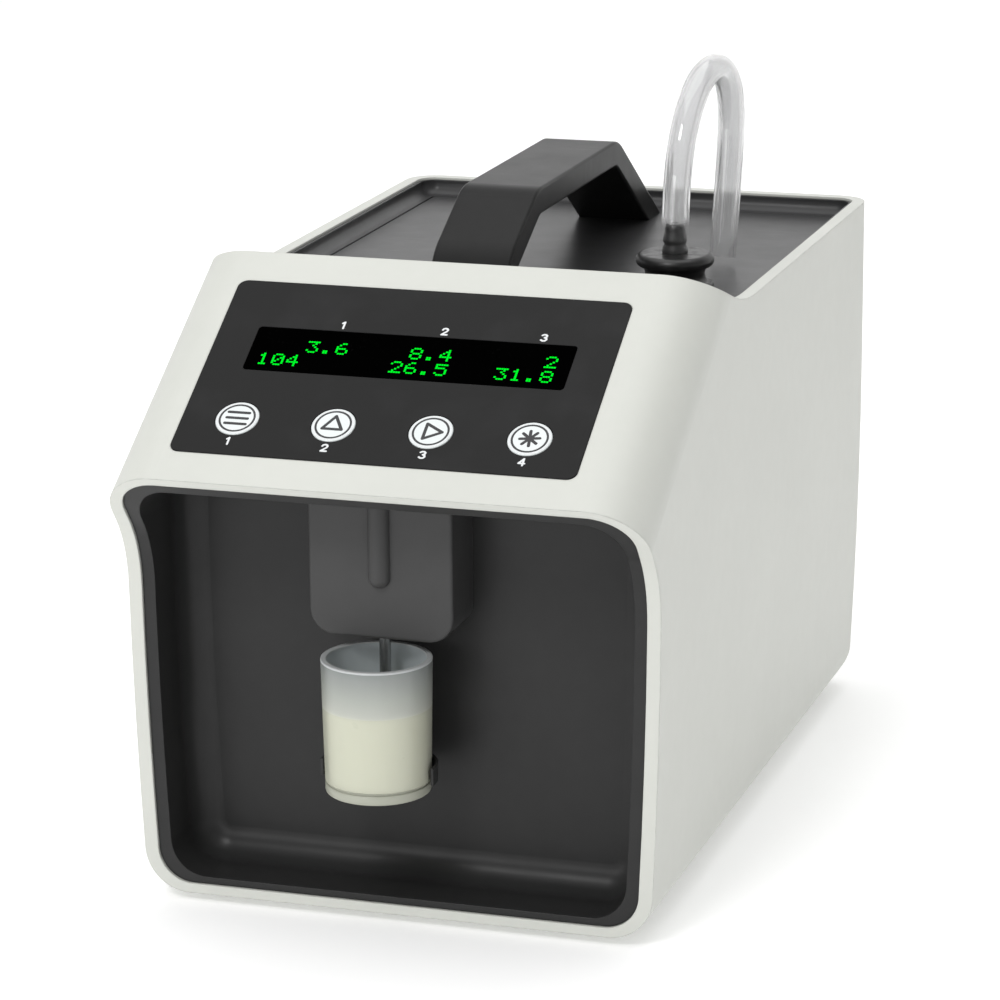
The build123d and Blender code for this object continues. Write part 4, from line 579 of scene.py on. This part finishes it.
class Shop:
    """The finishes of the instrument by name."""

    # Each edge colour below is a painted highlight on that finish's edges.
    casing = MouldedPlastic("ivory_shell", "casing_plastic", (0.625, 0.635, 0.592), (0.605, 0.615, 0.573),
                            0.42, grain_depth=0.000012, edge=0.0008, edge_colour=(0.76, 0.77, 0.73),
                            specular=0.35)
    recess = MouldedPlastic("charcoal_pan", "dark_plastic", grey(0.030), grey(0.026), 0.34,
                            edge_colour=grey(0.055), specular=0.2)
    sampler = MouldedPlastic("graphite_block", "dark_plastic", grey(0.058), grey(0.052), 0.5,
                             edge_colour=grey(0.09), specular=0.25)
    # Painted light: the clip is the pan's dark plastic, set a little lighter so that in the cup's shade it
    # looks as light as the pan.
    clip = MouldedPlastic("charcoal_clip_painted_light", "dark_plastic", grey(0.040), grey(0.036), 0.5,
                          edge_colour=grey(0.05), specular=0.2)
    tray = MouldedPlastic("slate_tray", "tray_plastic", (0.036, 0.036, 0.037), (0.031, 0.031, 0.032), 0.36,
                          edge_colour=grey(0.08), specular=0.35)
    handle = MouldedPlastic("black_strap", "tray_plastic", grey(0.018), grey(0.015), 0.34,
                            edge_colour=grey(0.04), specular=0.1)
    dark = MouldedPlastic("black_fittings", "dark_plastic", (0.016, 0.016, 0.017), grey(0.012), 0.42,
                          edge_colour=grey(0.05))
    white = MouldedPlastic("white_fittings", "white_plastic", (0.72, 0.72, 0.70), (0.66, 0.66, 0.64), 0.45)
    rubber = Rubber("black_rubber_skin", "black_rubber")
    port = Rubber("smooth_rubber_skin", "black_rubber", grey(0.010), grey(0.03), 0.32)
    hose = SoftHose("clear_hose_wall", "clear_pvc")
    cup = Filmed("milky_cup_wall", "cup_plastic", (0.285, 0.305, 0.295), 0.72)
    # The rim's higher cover stands for its thicker lip; its colour, much lighter than the wall's, is a
    # painted highlight on the rim.
    rim = Milky("milky_cup_rim_painted_highlight", "cup_plastic", (0.60, 0.62, 0.62))
    foot = Milky("milky_cup_foot", "cup_plastic", (0.44, 0.45, 0.375), 0.94)
    cover = Clear("clear_pump_cover", "cup_plastic", (0.85, 0.87, 0.88), 0.9, 0.05, 1.4)
    silicone = Clear("silicone_tubing", "silicone_tube", (0.78, 0.79, 0.77), 0.5, 0.3, 1.35, 0.1)
    milk = Milk("fresh_milk", "milk", (0.84, 0.845, 0.69))
    film = PrintedFilm("overlay_print", "overlay_film", grey(0.012))
    glass = Glass("display_face", "window_acrylic")
    figures = Lit("green_dots", "window_acrylic")
    ink = Ink("white_print", "overlay_film", (0.78, 0.80, 0.81))
    symbol = Ink("grey_symbol", "overlay_film", (0.012, 0.013, 0.015))
    cap = MouldedPlastic("pale_cap", "key_plastic", (0.76, 0.80, 0.80), (0.73, 0.77, 0.77), 0.42,
                         grain_depth=0.000004, edge=0.0004)
    steel = Metal("needle_steel", "stainless", grey(0.34), grey(0.24), 0.22)
    screw = Metal("zinc_screws", "screw_steel", (0.58, 0.58, 0.60), grey(0.42), 0.32, (1, 1, 1))
    sheet = Metal("zinc_sheet", "sheet_steel", (0.50, 0.51, 0.52), (0.36, 0.37, 0.38), 0.42, (0.1, 1, 1))
    motor = Metal("motor_can", "motor_steel", (0.45, 0.45, 0.46), (0.34, 0.34, 0.35), 0.36, (1, 0.1, 1))
    brass = Metal("machined_brass", "brass_fittings", (0.72, 0.52, 0.22), (0.52, 0.36, 0.14), 0.30,
                  (1, 0.1, 1))
    board = CircuitBoard("solder_mask", "circuit_board")
    lcd = Metal("display_frame", "lcd_frame", grey(0.5), grey(0.4), 0.35, (0.1, 1, 1))
    heater = MouldedPlastic("heater_foil", "heater_film", (0.42, 0.16, 0.03), (0.34, 0.12, 0.02), 0.35)


def build_mesh(name: str, bm: BMesh, finish: Finish, body: str = BODY, smooth: bool = True,
               angle: float = 35.0) -> bpy.types.Object:
    """Turns a bmesh into a dressed piece that rides on a body.

    Args:
        name: Name of the piece.
        bm: Its mesh in row-frame metres. It is freed.
        finish: Its finish.
        body: The CAD body that it moves with.
        smooth: Whether its faces are shaded smooth below the angle.
        angle: Angle in degrees above which an edge stays sharp.

    Returns:
        The new object.
    """
    mesh = bpy.data.meshes.new(name)
    bm.normal_update()
    bm.to_mesh(mesh)
    bm.free()
    made = bpy.data.objects.new(name, mesh)
    bpy.context.scene.collection.objects.link(made)
    mesh.materials.append(finish.material())
    if smooth:
        shade_smooth(mesh, angle)
    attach(made, body)
    LOG.info("%s: %d faces on %s", name, len(mesh.polygons), body)
    return made


def shade_smooth(mesh: bpy.types.Mesh, angle: float) -> None:
    """Shades a mesh smooth, and keeps edges above an angle in degrees sharp."""
    mesh.shade_smooth()
    mesh.set_sharp_from_angle(angle=math.radians(angle))


@dataclass
class Panel:
    """The sloping panel's plane, in millimetres: x across, s up the slope from the brow, n outward."""

    brow: Pair = (-167.2, 159.0)
    crest: Pair = (-72.8, 217.8)
    middle: float = -2.0

    @property
    def slope(self) -> float:
        """Angle of the panel above the horizontal, in radians."""
        return math.atan2(self.crest[1] - self.brow[1], self.crest[0] - self.brow[0])

    def at(self, x: float, s: float, n: float = 0.0) -> Vector:
        """Point of the panel's frame, in metres of the row frame."""
        c, k = math.cos(self.slope), math.sin(self.slope)
        return Vector((x, self.brow[0] + s * c - n * k, self.brow[1] + s * k + n * c)) * MM


def circle(radius: float, segments: int) -> List[Pair]:
    """Points round a circle about 0, 0."""
    turns = [math.tau * i / segments for i in range(segments)]
    return [(radius * math.cos(turn), radius * math.sin(turn)) for turn in turns]


def band(bm: BMesh, first: Sequence[BMVert], second: Sequence[BMVert]) -> None:
    """Joins two closed loops of vertices by faces. A loop of one vertex is a pole."""
    count = max(len(first), len(second))
    for i in range(count):
        j = (i + 1) % count
        corners = (first[i % len(first)], first[j % len(first)],
                   second[j % len(second)], second[i % len(second)])
        unique = list(dict.fromkeys(corners))
        if len(unique) > 2:
            bm.faces.new(unique)


def prism(bm: BMesh, panel: Panel, outline: Sequence[Pair], low: float, high: float) -> None:
    """Adds a flat-topped prism that stands on the panel's plane.

    Args:
        bm: Mesh to add to.
        panel: The panel's plane.
        outline: Corners as x and s in millimetres, in order.
        low: Height of its foot above the plane, in millimetres.
        high: Height of its top.
    """
    foot = [bm.verts.new(panel.at(x, s, low)) for x, s in outline]
    top = [bm.verts.new(panel.at(x, s, high)) for x, s in outline]
    bm.faces.new(top)
    bm.faces.new(list(reversed(foot)))
    band(bm, foot, top)


def ring(bm: BMesh, panel: Panel, centre: Pair, inner: float, outer: float, low: float,
         high: float) -> None:
    """Adds a flat ring with slightly sloped shoulders on the panel's plane.

    Args:
        bm: Mesh to add to.
        panel: The panel's plane.
        centre: Its middle as x and s in millimetres.
        inner: Its inner radius.
        outer: Its outer radius.
        low: Height of its foot above the plane.
        high: Height of its top.
    """
    segments, shoulder = 72, 0.06
    levels = ((inner, low), (inner + shoulder, high), (outer - shoulder, high), (outer, low))
    loops = [[bm.verts.new(panel.at(centre[0] + x, centre[1] + s, height))
              for x, s in circle(radius, segments)]
             for radius, height in levels]
    for index, loop in enumerate(loops):
        band(bm, loop, loops[(index + 1) % len(loops)])
    bmesh.ops.recalc_face_normals(bm, faces=bm.faces)


def strokes(bm: BMesh, panel: Panel, lines: Sequence[Sequence[Pair]],
            centre: Pair, width: float, foot: float) -> None:
    """Adds lines of thin ink with round ends to the panel, each stroke a little thicker than the last.

    Args:
        bm: Mesh to add to.
        panel: The panel's plane.
        lines: Each line's points about the centre, in millimetres.
        centre: Where the lines' origin lies on the panel.
        width: Width of the lines.
        foot: Height of the surface they are printed on.
    """
    thickness, step, bends = 0.05, 0.003, 8
    for line in lines:
        for (x0, s0), (x1, s1) in zip(line, line[1:]):
            along = math.atan2(s1 - s0, x1 - x0)
            outline = []
            for (x, s), start in (((x1, s1), along - math.pi / 2), ((x0, s0), along + math.pi / 2)):
                for i in range(bends + 1):
                    turn = start + math.pi * i / bends
                    outline.append((centre[0] + x + width / 2 * math.cos(turn),
                                    centre[1] + s + width / 2 * math.sin(turn)))
            prism(bm, panel, outline, foot, foot + thickness)
            thickness += step


def lathe(bm: BMesh, centre: Pair, profile: Sequence[Pair], segments: int = 96) -> None:
    """Turns a closed profile about an upright line.

    Args:
        bm: Mesh to add to.
        centre: x and y of the line, in millimetres.
        profile: Radius and height of each point, in millimetres. Radius 0 makes a pole.
        segments: Steps round the line.
    """
    rows: List[List[BMVert]] = []
    for radius, height in profile:
        places = circle(radius, segments) if radius > 0 else [(0.0, 0.0)]
        rows.append([bm.verts.new(Vector((centre[0] + x, centre[1] + y, height)) * MM) for x, y in places])
    for index, row in enumerate(rows):
        band(bm, row, rows[(index + 1) % len(rows)])
    bmesh.ops.recalc_face_normals(bm, faces=bm.faces)


class Symbol(Enum):
    """What each key of the keypad shows."""

    BARS = "menu_key"
    UP = "up_key"
    NEXT = "next_key"
    STAR = "start_key"


@dataclass
class Keypad:
    """The keys' printed rings and symbols, in millimetres.

    Attributes:
        panel: The panel's plane.
        pitch: Distance between the keys.
        up: How far up the slope they lie.
        radius: Radius of a key.
        top: Height of its face above the panel.
        stroke: Width of a symbol's lines.
        sunk: How far a printed ring starts below the face.
        raised: How far it stands above it.
        rings: Name, ink and how far in from the key's radius each ring starts and ends.
    """

    panel: Panel
    pitch: float = 34.4
    up: float = 30.2
    radius: float = 7.6
    top: float = 0.5
    stroke: float = 1.1
    sunk: float = 0.02
    raised: float = 0.04
    rings: Tuple[Tuple[str, Finish, float, float], ...] = (
        ("rim", Shop.ink, 1.12, 0.45), ("ring", Shop.symbol, 1.95, 1.15),
    )

    def centre(self, index: int) -> Pair:
        """Middle of a key, counted from the left."""
        return (self.panel.middle + self.pitch * (index - 1.5), self.up)

    def lines(self, kind: Symbol) -> List[List[Pair]]:
        """The lines of a key's symbol about its middle, in millimetres."""
        bar, ray, lean, corner = 3.7, 3.4, 0.12, 4.0
        if kind is Symbol.BARS:
            return [[(-bar, lift), (bar, lift)] for lift in (-2.6, 0.0, 2.6)]
        if kind is Symbol.STAR:
            rays = [math.pi * i / 4 + lean for i in range(4)]
            ends = [(ray * math.cos(turn), ray * math.sin(turn)) for turn in rays]
            return [[(-x, -s), (x, s)] for x, s in ends]
        first = math.pi / 2 if kind is Symbol.UP else 0.0
        turns = [first + math.tau * i / 3 for i in range(3)]
        corners = [(corner * math.cos(turn), corner * math.sin(turn)) for turn in turns]
        return [corners + corners[:1]]

    def build(self) -> None:
        """Builds every key's print."""
        for index, kind in enumerate(Symbol):
            centre = self.centre(index)
            body = f"{kind.value}_cap"
            for part, finish, inner, outer in self.rings:
                bm = bmesh.new()
                ring(bm, self.panel, centre, self.radius - inner, self.radius - outer, self.top - self.sunk,
                     self.top + self.raised)
                build_mesh(f"{kind.value}_{part}", bm, finish, body)
            mark = bmesh.new()
            strokes(mark, self.panel, self.lines(kind), centre, self.stroke, self.top)
            build_mesh(f"{kind.value}_symbol", mark, Shop.symbol, body, smooth=False)


DIGITS: Dict[str, Tuple[Pair, ...]] = {
    "1": ((-0.6, 0.9), (0.1, 1.5), (0.1, -1.5)),
    "2": ((-0.95, 0.75), (-0.65, 1.3), (0.0, 1.5), (0.65, 1.3), (0.92, 0.75), (0.65, 0.1), (-0.95, -1.5),
          (0.98, -1.5)),
    "3": ((-0.9, 1.1), (-0.35, 1.5), (0.35, 1.48), (0.82, 1.05), (0.75, 0.45), (0.1, 0.12), (0.8, -0.25),
          (0.95, -0.85), (0.5, -1.4), (-0.3, -1.5), (-0.95, -1.1)),
    "4": ((0.45, -1.5), (0.45, 1.5), (-1.05, -0.6), (1.0, -0.6)),
}


@dataclass
class Numbers:
    """Plain numbers printed on the overlay: one under each key, and one over each column of figures.

    Attributes:
        panel: The panel's plane.
        keypad: The keys that they stand under.
        drop: How far below a key's middle its number stands, in millimetres.
        over: How far up the slope the upper numbers stand.
        columns: Places of the upper numbers across the panel.
        stroke: Width of their lines.
        film: Height of the overlay's face above the panel.
    """

    panel: Panel
    keypad: Keypad
    drop: float = 10.6
    over: float = 77.2
    columns: Tuple[float, ...] = (-29.3, 7.2, 42.5)
    stroke: float = 0.7
    film: float = 0.3

    def build(self) -> None:
        """Builds all the numbers as one print."""
        bm = bmesh.new()
        places = [(self.keypad.centre(i)[0], self.keypad.up - self.drop) for i in range(len(Symbol))]
        for group in (places, [(x, self.over) for x in self.columns]):
            for count, centre in enumerate(group, start=1):
                strokes(bm, self.panel, [DIGITS[str(count)]], centre, self.stroke, self.film)
        build_mesh("overlay_numbers", bm, Shop.ink, smooth=False)


DOTS: Dict[str, Tuple[str, ...]] = {
    "0": ("01110", "10001", "10011", "10101", "11001", "10001", "01110"),
    "1": ("00100", "01100", "00100", "00100", "00100", "00100", "01110"),
    "2": ("01110", "10001", "00001", "00010", "00100", "01000", "11111"),
    "3": ("11111", "00010", "00100", "00010", "00001", "10001", "01110"),
    "4": ("00010", "00110", "01010", "10010", "11111", "00010", "00010"),
    "5": ("11111", "10000", "11110", "00001", "00001", "10001", "01110"),
    "6": ("00110", "01000", "10000", "11110", "10001", "10001", "01110"),
    "8": ("01110", "10001", "10001", "01110", "10001", "10001", "01110"),
    ".": ("00000", "00000", "00000", "00000", "00000", "01100", "01100"),
}


@dataclass
class Display:
    """The lit figures of the two-line display, in millimetres.

    Attributes:
        panel: The panel's plane.
        left: Left edge of the first column.
        column: Distance between columns.
        dot: Distance between dots, across and up.
        fill: Share of that distance that a dot fills.
        rows: Middle of each line, up the slope.
        foot: Height of a dot's foot above the panel.
        top: Height of its top.
        figures: Line, first column and text of each figure.
    """

    panel: Panel
    left: float = -55.0
    column: float = 5.32
    dot: Pair = (0.87, 0.79)
    fill: float = 0.86
    rows: Pair = (66.0, 59.1)
    foot: float = 0.18
    top: float = 0.23
    figures: Tuple[Tuple[int, int, str], ...] = (
        (0, 3, "3.6"), (0, 10, "8.4"), (0, 19, "2"), (1, 0, "104"), (1, 9, "26.5"), (1, 16, "31.8"),
    )

    def build(self) -> None:
        """Builds each lit dot as a thin tile on the window's face."""
        bm = bmesh.new()
        for row, start, text in self.figures:
            for column, character in enumerate(text, start=start):
                for line, bits in enumerate(DOTS[character]):
                    for place, bit in enumerate(bits):
                        if bit == "1":
                            self.tile(bm, row, column, line, place)
        build_mesh("display_figures", bm, Shop.figures, smooth=False)

    def tile(self, bm: BMesh, row: int, column: int, line: int, place: int) -> None:
        """Adds one lit dot, by its display line and column and by its line and place in the character."""
        wide, high = self.dot
        middle_line = 3
        x = self.left + column * self.column + place * wide
        s = self.rows[row] + (middle_line - line) * high
        hx, hs = wide * self.fill / 2, high * self.fill / 2
        outline = [(x - hx, s - hs), (x + hx, s - hs), (x + hx, s + hs), (x - hx, s + hs)]
        prism(bm, self.panel, outline, self.foot, self.top)


@dataclass
class Hose:
    """The clear drain hose, from the port over and down to its bare end just above the tray.

    Attributes:
        outer: Outer diameter in millimetres.
        bore: Diameter of its bore.
        swell: How much the barb adds to the outer radius, in millimetres.
        stretch: How much it adds to the bore's radius.
        barbed: Length over the barb, in metres.
        segments: Steps round the hose.
        route: Control points of its line, in millimetres.
    """

    outer: float = 10.0
    bore: float = 6.4
    swell: float = 0.9
    stretch: float = 1.6
    barbed: float = 0.016
    segments: int = 48
    route: Tuple[Point, ...] = (
        (57.2, 11.8, 207.5), (57.2, 11.8, 238.0), (59.8, 28.0, 266.0), (63.2, 50.0, 272.0),
        (65.3, 63.0, 258.0), (64.7, 60.0, 226.0), (63.7, 55.0, 197.7),
    )

    def spline(self) -> bpy.types.Object:
        """The route's NURBS line as a curve without thickness."""
        data = bpy.data.curves.new("hose_line", "CURVE")
        data.dimensions = "3D"
        data.resolution_u = 24
        line = data.splines.new("NURBS")
        line.points.add(len(self.route) - 1)
        for spot, place in zip(line.points, self.route):
            spot.co = (*(c * MM for c in place), 1.0)
        line.order_u = 3
        line.use_endpoint_u = True
        made = bpy.data.objects.new("hose_line", data)
        bpy.context.scene.collection.objects.link(made)
        return made

    def path(self) -> List[Vector]:
        """Points along the route's spline."""
        line = self.spline()
        bpy.context.view_layer.update()
        mesh = bpy.data.meshes.new_from_object(line)
        points = [vertex.co.copy() for vertex in mesh.vertices]
        bpy.data.objects.remove(line)
        bpy.data.meshes.remove(mesh)
        return points

    def build(self) -> None:
        """Builds the hose's wall as one closed tube with its bore, and the barb in its end."""
        points = self.path()
        lengths = [0.0]
        for a, b in zip(points, points[1:]):
            lengths.append(lengths[-1] + (b - a).length)
        bm = bmesh.new()
        sleeves: Tuple[List[List[BMVert]], ...] = ([], [])
        frame_x = Vector((1, 0, 0))
        for i, place in enumerate(points):
            ahead = points[min(i + 1, len(points) - 1)]
            behind = points[max(i - 1, 0)]
            tangent = (ahead - behind).normalized()
            frame_x = (frame_x - tangent * frame_x.dot(tangent)).normalized()
            frame_y = tangent.cross(frame_x)
            sizes = ((self.outer, self.swell), (self.bore, self.stretch))
            for rows, (diameter, grown) in zip(sleeves, sizes):
                radius = (diameter / 2 + grown * self.flare(lengths[i])) * MM
                rows.append([bm.verts.new(place + (frame_x * x + frame_y * y) * radius)
                             for x, y in circle(1.0, self.segments)])
        outside, inside = sleeves
        for rows in sleeves:
            for a, b in zip(rows, rows[1:]):
                band(bm, a, b)
        band(bm, outside[0], inside[0])
        band(bm, outside[-1], inside[-1])
        bmesh.ops.recalc_face_normals(bm, faces=bm.faces)
        made = build_mesh("drain_hose", bm, Shop.hose)
        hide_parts("clear_hose")
        self.barb()

    def barb(self) -> None:
        """Builds the port's barb, which fills the flared end of the hose."""
        x, y, foot = self.route[0]
        profile = [
            (2.6, foot), (4.6, foot), (4.72, foot + 0.9), (4.55, foot + 2.0), (4.0, foot + 3.0),
            (3.95, foot + 3.6), (4.38, foot + 4.3), (4.36, foot + 5.2), (4.1, foot + 6.4), (3.8, foot + 7.6),
            (3.7, foot + 8.3), (3.75, foot + 8.9), (3.6, foot + 9.6), (3.1, foot + 10.6), (2.6, foot + 11.0),
        ]
        bm = bmesh.new()
        lathe(bm, (x, y), profile, segments=64)
        build_mesh("hose_barb", bm, Shop.port, angle=50.0)

    def flare(self, along: float) -> float:
        """How much the hose is stretched at a length from its foot, from 1 there to 0 past the barb."""
        if along > self.barbed:
            return 0.0
        return math.cos(along / self.barbed * math.pi / 2) ** 2


@dataclass
class Cup:
    """The sample cup in three turned pieces, in millimetres. Its wall stands a small gap off the milk.

    Attributes:
        centre: x and y of its middle.
        bottom: Height of its foot.
        top: Height of its rim.
        rim: Outer radius at the rim.
        base: Outer radius at the foot.
        wall: Thickness of the wall with the gap.
        gap: Gap between wall and milk.
        lip: Width of the rim.
        floor: Height of the inner floor over the foot.
        shoulder: Height of the rim piece.
        seam: Gap that keeps two pieces' faces apart.
        steps: Rings of faces up the wall.
    """

    centre: Pair = (-5.0, -142.8)
    bottom: float = 48.4
    top: float = 95.7
    rim: float = 19.05
    base: float = 18.1
    wall: float = 1.5
    gap: float = 0.12
    lip: float = 2.0
    floor: float = 4.4
    shoulder: float = 0.72
    seam: float = 0.02
    steps: int = 8

    def outside(self, z: float) -> float:
        """Outer radius at a height."""
        return self.base + (self.rim - self.base) * (z - self.bottom) / (self.top - self.bottom)

    def inside(self, z: float) -> float:
        """Inner radius at a height."""
        return self.outside(z) - self.wall + self.gap

    def turned(self, name: str, profile: Sequence[Pair], finish: Finish) -> bpy.types.Object:
        """Builds one turned piece of the cup from a closed profile of radius and height."""
        bm = bmesh.new()
        lathe(bm, self.centre, profile)
        return build_mesh(name, bm, finish, "cup")

    def build(self) -> None:
        """Builds the foot, the wall and the rim."""
        b, t, base = self.bottom, self.top, self.base
        floor = b + self.floor
        foot = [
            (0, b + 1.6), (base - 2.8, b + 1.6), (base - 2.4, b + 1.2), (base - 2.4, b + 0.3),
            (base - 2.1, b), (base - 0.6, b), (base - 0.1, b + 0.4), (base + 0.05, b + 1.0),
            (base + 0.05, b + 3.0), (base - 0.15, b + 3.3), (base - 0.6, b + 3.45), (base - 0.6, b + 3.85),
            (base - 0.05, b + 4.1),
            (self.outside(floor), floor - 0.1), (self.outside(floor) - 0.3, floor), (0, floor),
        ]
        low, high = floor + self.seam, t - self.shoulder
        heights = [low + (high - low) * i / self.steps for i in range(self.steps + 1)]
        wall = [(self.outside(z), z) for z in heights]
        wall += [(self.inside(z), z) for z in reversed(heights)]
        lip = self.rim - self.lip
        rim = [
            (self.outside(high), high + self.seam), (self.rim, t - 0.4), (self.rim - 0.08, t - 0.15),
            (self.rim - 0.25, t - 0.02), (self.rim - 0.5, t), (lip + 0.35, t), (lip + 0.1, t - 0.05),
            (lip, t - 0.2), (lip, t - 0.5), (self.inside(high), high + self.seam),
        ]
        made = self.turned("sample_cup_wall", wall, Shop.cup)
        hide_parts("sample_cup")
        self.turned("sample_cup_foot", foot, Shop.foot)
        self.turned("sample_cup_rim", rim, Shop.rim)


@dataclass
class Cameras:
    """The camera at the photograph's angle, in millimetres and pixels of a 1000 by 1000 frame."""

    place: Point = (426.26, -1347.51, 499.39)
    target: Point = (40.94, -142.8, 151.75)
    focal: float = 3960.5
    roll: float = -0.5
    centre: Pair = (504.4, 506.7)
    frame: float = 1000.0
    sensor: float = 36.0

    def build(self) -> bpy.types.Object:
        """Builds the camera and makes it the scene's."""
        data = bpy.data.cameras.new("photo_camera")
        data.sensor_width = self.sensor
        data.sensor_fit = "HORIZONTAL"
        data.lens = self.focal / self.frame * self.sensor
        data.shift_x = -(self.centre[0] - self.frame / 2) / self.frame
        data.shift_y = (self.centre[1] - self.frame / 2) / self.frame
        data.clip_start = 0.05
        data.clip_end = 20.0
        made = bpy.data.objects.new("photo_camera", data)
        place = Vector(self.place) * MM
        look = (Vector(self.target) * MM - place).normalized()
        right = look.cross(Vector((0, 0, 1))).normalized()
        up = right.cross(look)
        r = math.radians(self.roll)
        turned = right * math.cos(r) + up * math.sin(r)
        lifted = turned.cross(look)
        made.matrix_world = Matrix((
            (turned.x, lifted.x, -look.x, place.x),
            (turned.y, lifted.y, -look.y, place.y),
            (turned.z, lifted.z, -look.z, place.z),
            (0, 0, 0, 1),
        ))
        bpy.context.scene.collection.objects.link(made)
        bpy.context.scene.camera = made
        return made


@dataclass
class Studio:
    """Pale floor and soft studio light, in metres.

    Attributes:
        reach: How far the floor reaches to either side.
        front: Its front edge along y.
        back: The upright sheet behind the instrument, along y.
        sweep: Radius of the bend between the two.
        rise: Height of the upright sheet.
        bends: Steps round the bend.
        glow: Light that the floor gives off itself, so that it renders white.
        sky: Strength of the light from all round.
    """

    reach: float = 12.0
    front: float = -12.0
    back: float = 2.2
    sweep: float = 0.8
    rise: float = 2.4
    bends: int = 12
    glow: float = 0.25
    sky: float = 0.38

    def floor(self) -> None:
        """Builds the floor as a wide swept sheet."""
        bm = bmesh.new()
        flat = self.back - self.sweep
        profile = [(self.front, 0.0), (flat, 0.0)]
        for i in range(1, self.bends + 1):
            turn = math.pi / 2 * i / self.bends
            profile.append((flat + self.sweep * math.sin(turn), self.sweep - self.sweep * math.cos(turn)))
        profile.append((self.back, self.rise))
        rows = [[bm.verts.new((x, y, z)) for y, z in profile] for x in (-self.reach, self.reach)]
        for i in range(len(profile) - 1):
            bm.faces.new((rows[0][i], rows[1][i], rows[1][i + 1], rows[0][i + 1]))
        mesh = bpy.data.meshes.new("studio_floor")
        bm.to_mesh(mesh)
        bm.free()
        mesh.shade_smooth()
        made = bpy.data.objects.new("studio_floor", mesh)
        bpy.context.scene.collection.objects.link(made)
        graph = Graph("studio_paper")
        paper = graph.noise(0.05, 4.0)
        mesh.materials.append(graph.surface(
            base_color=graph.mix(paper, (0.92, 0.92, 0.92), (0.94, 0.94, 0.94)),
            roughness=0.9,
            specular_ior_level=0.1,
            emission_color=(1.0, 1.0, 1.0),
            emission_strength=self.glow,
        ))

    def light(self, name: str, place: Point, target: Point, size: Pair, power: float) -> None:
        """Builds one soft rectangular light.

        Args:
            name: Name of the light.
            place: Where it stands, in metres.
            target: What it points at.
            size: Its width and height.
            power: Its power in watts.
        """
        data = bpy.data.lights.new(name, "AREA")
        data.shape = "RECTANGLE"
        data.size, data.size_y = size
        data.energy = power
        made = bpy.data.objects.new(name, data)
        made.location = place
        made.rotation_euler = (Vector(target) - Vector(place)).to_track_quat("-Z", "Y").to_euler()
        bpy.context.scene.collection.objects.link(made)

    def build(self) -> None:
        """Builds the floor, the lights and the pale surroundings."""
        self.floor()
        self.light("overhead", (-0.1, 0.1, 2.0), (0, 0, 0.1), (2.2, 2.2), 25)
        self.light("key_light", (-0.25, -1.5, 1.5), (0, -0.05, 0.12), (0.5, 0.5), 11)
        self.light("front_fill", (-0.65, -2.0, 0.35), (0, 0, 0.12), (1.4, 0.6), 8)
        bpy.context.scene.view_settings.view_transform = "Standard"
        world = bpy.data.worlds.new("pale_room")
        bpy.context.scene.world = world
        world.use_nodes = True
        sky = world.node_tree.nodes["Background"]
        sky.inputs["Color"].default_value = (1, 1, 1, 1)
        sky.inputs["Strength"].default_value = self.sky


CARRIED: Dict[str, Finish] = {
    "casing": Shop.casing, "front_recess": Shop.recess, "recess_screws": Shop.screw,
    "sampler_block": Shop.sampler, "cup_clip": Shop.clip, "recess_back_screws": Shop.screw,
    "sampling_needle": Shop.steel, "needle_elbow": Shop.white, "milk_sample": Shop.milk,
    "panel_overlay": Shop.film, "display_window": Shop.glass, "display_module": Shop.lcd,
    "panel_board_screws": Shop.screw, "menu_key": Shop.cap, "up_key": Shop.cap, "next_key": Shop.cap,
    "start_key": Shop.cap, "keypad_board": Shop.board, "top_tray": Shop.tray, "tray_strip": Shop.tray,
    "carry_handle": Shop.handle, "handle_posts": Shop.screw, "hose_port": Shop.port, "port_nut": Shop.dark,
    "rubber_feet": Shop.rubber, "feet_screws": Shop.screw, "base_frame": Shop.sheet,
    "board_standoffs": Shop.brass, "main_board": Shop.board, "chassis_screws": Shop.screw,
    "pump_bracket": Shop.sheet, "pump_motor": Shop.motor, "motor_shaft": Shop.steel,
    "pump_housing": Shop.white, "pump_cover": Shop.cover, "pump_screws": Shop.screw,
    "pump_rotor": Shop.dark, "pump_roller_1": Shop.white, "pump_roller_2": Shop.white,
    "pump_roller_3": Shop.white, "pump_tube": Shop.silicone, "tube_couplings": Shop.white,
    "measuring_cell": Shop.brass, "cell_transducers": Shop.steel, "cell_heater": Shop.heater,
    "cell_bracket": Shop.sheet, "inlet_tube": Shop.silicone, "transfer_tube": Shop.silicone,
    "drain_tube": Shop.silicone, "rear_panel": Shop.sheet, "rear_panel_screws": Shop.screw,
    "power_switch_frame": Shop.dark, "power_rocker": Shop.dark, "dc_inlet": Shop.dark,
    "usb_port": Shop.motor,
}


def dress_frame(nodes: Dict[str, bpy.types.Object]) -> None:
    """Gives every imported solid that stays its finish.

    Args:
        nodes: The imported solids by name.
    """
    for name, finish in CARRIED.items():
        solid = nodes[name]
        solid.data.materials.clear()
        solid.data.materials.append(finish.material())
        shade_smooth(solid.data, 28.0)
        LOG.info("%s: %s", name, finish.name)


def main() -> None:
    """Builds the instrument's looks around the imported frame."""
    logging.basicConfig(level=logging.INFO, format="%(name)s %(message)s")
    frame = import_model()
    Cameras().build()
    Hose().build()
    dress_frame(frame["nodes"])
    panel = Panel()
    keypad = Keypad(panel)
    keypad.build()
    Numbers(panel, keypad).build()
    Display(panel).build()
    Cup().build()
    Studio().build()


if __name__ == "__main__":
    main()
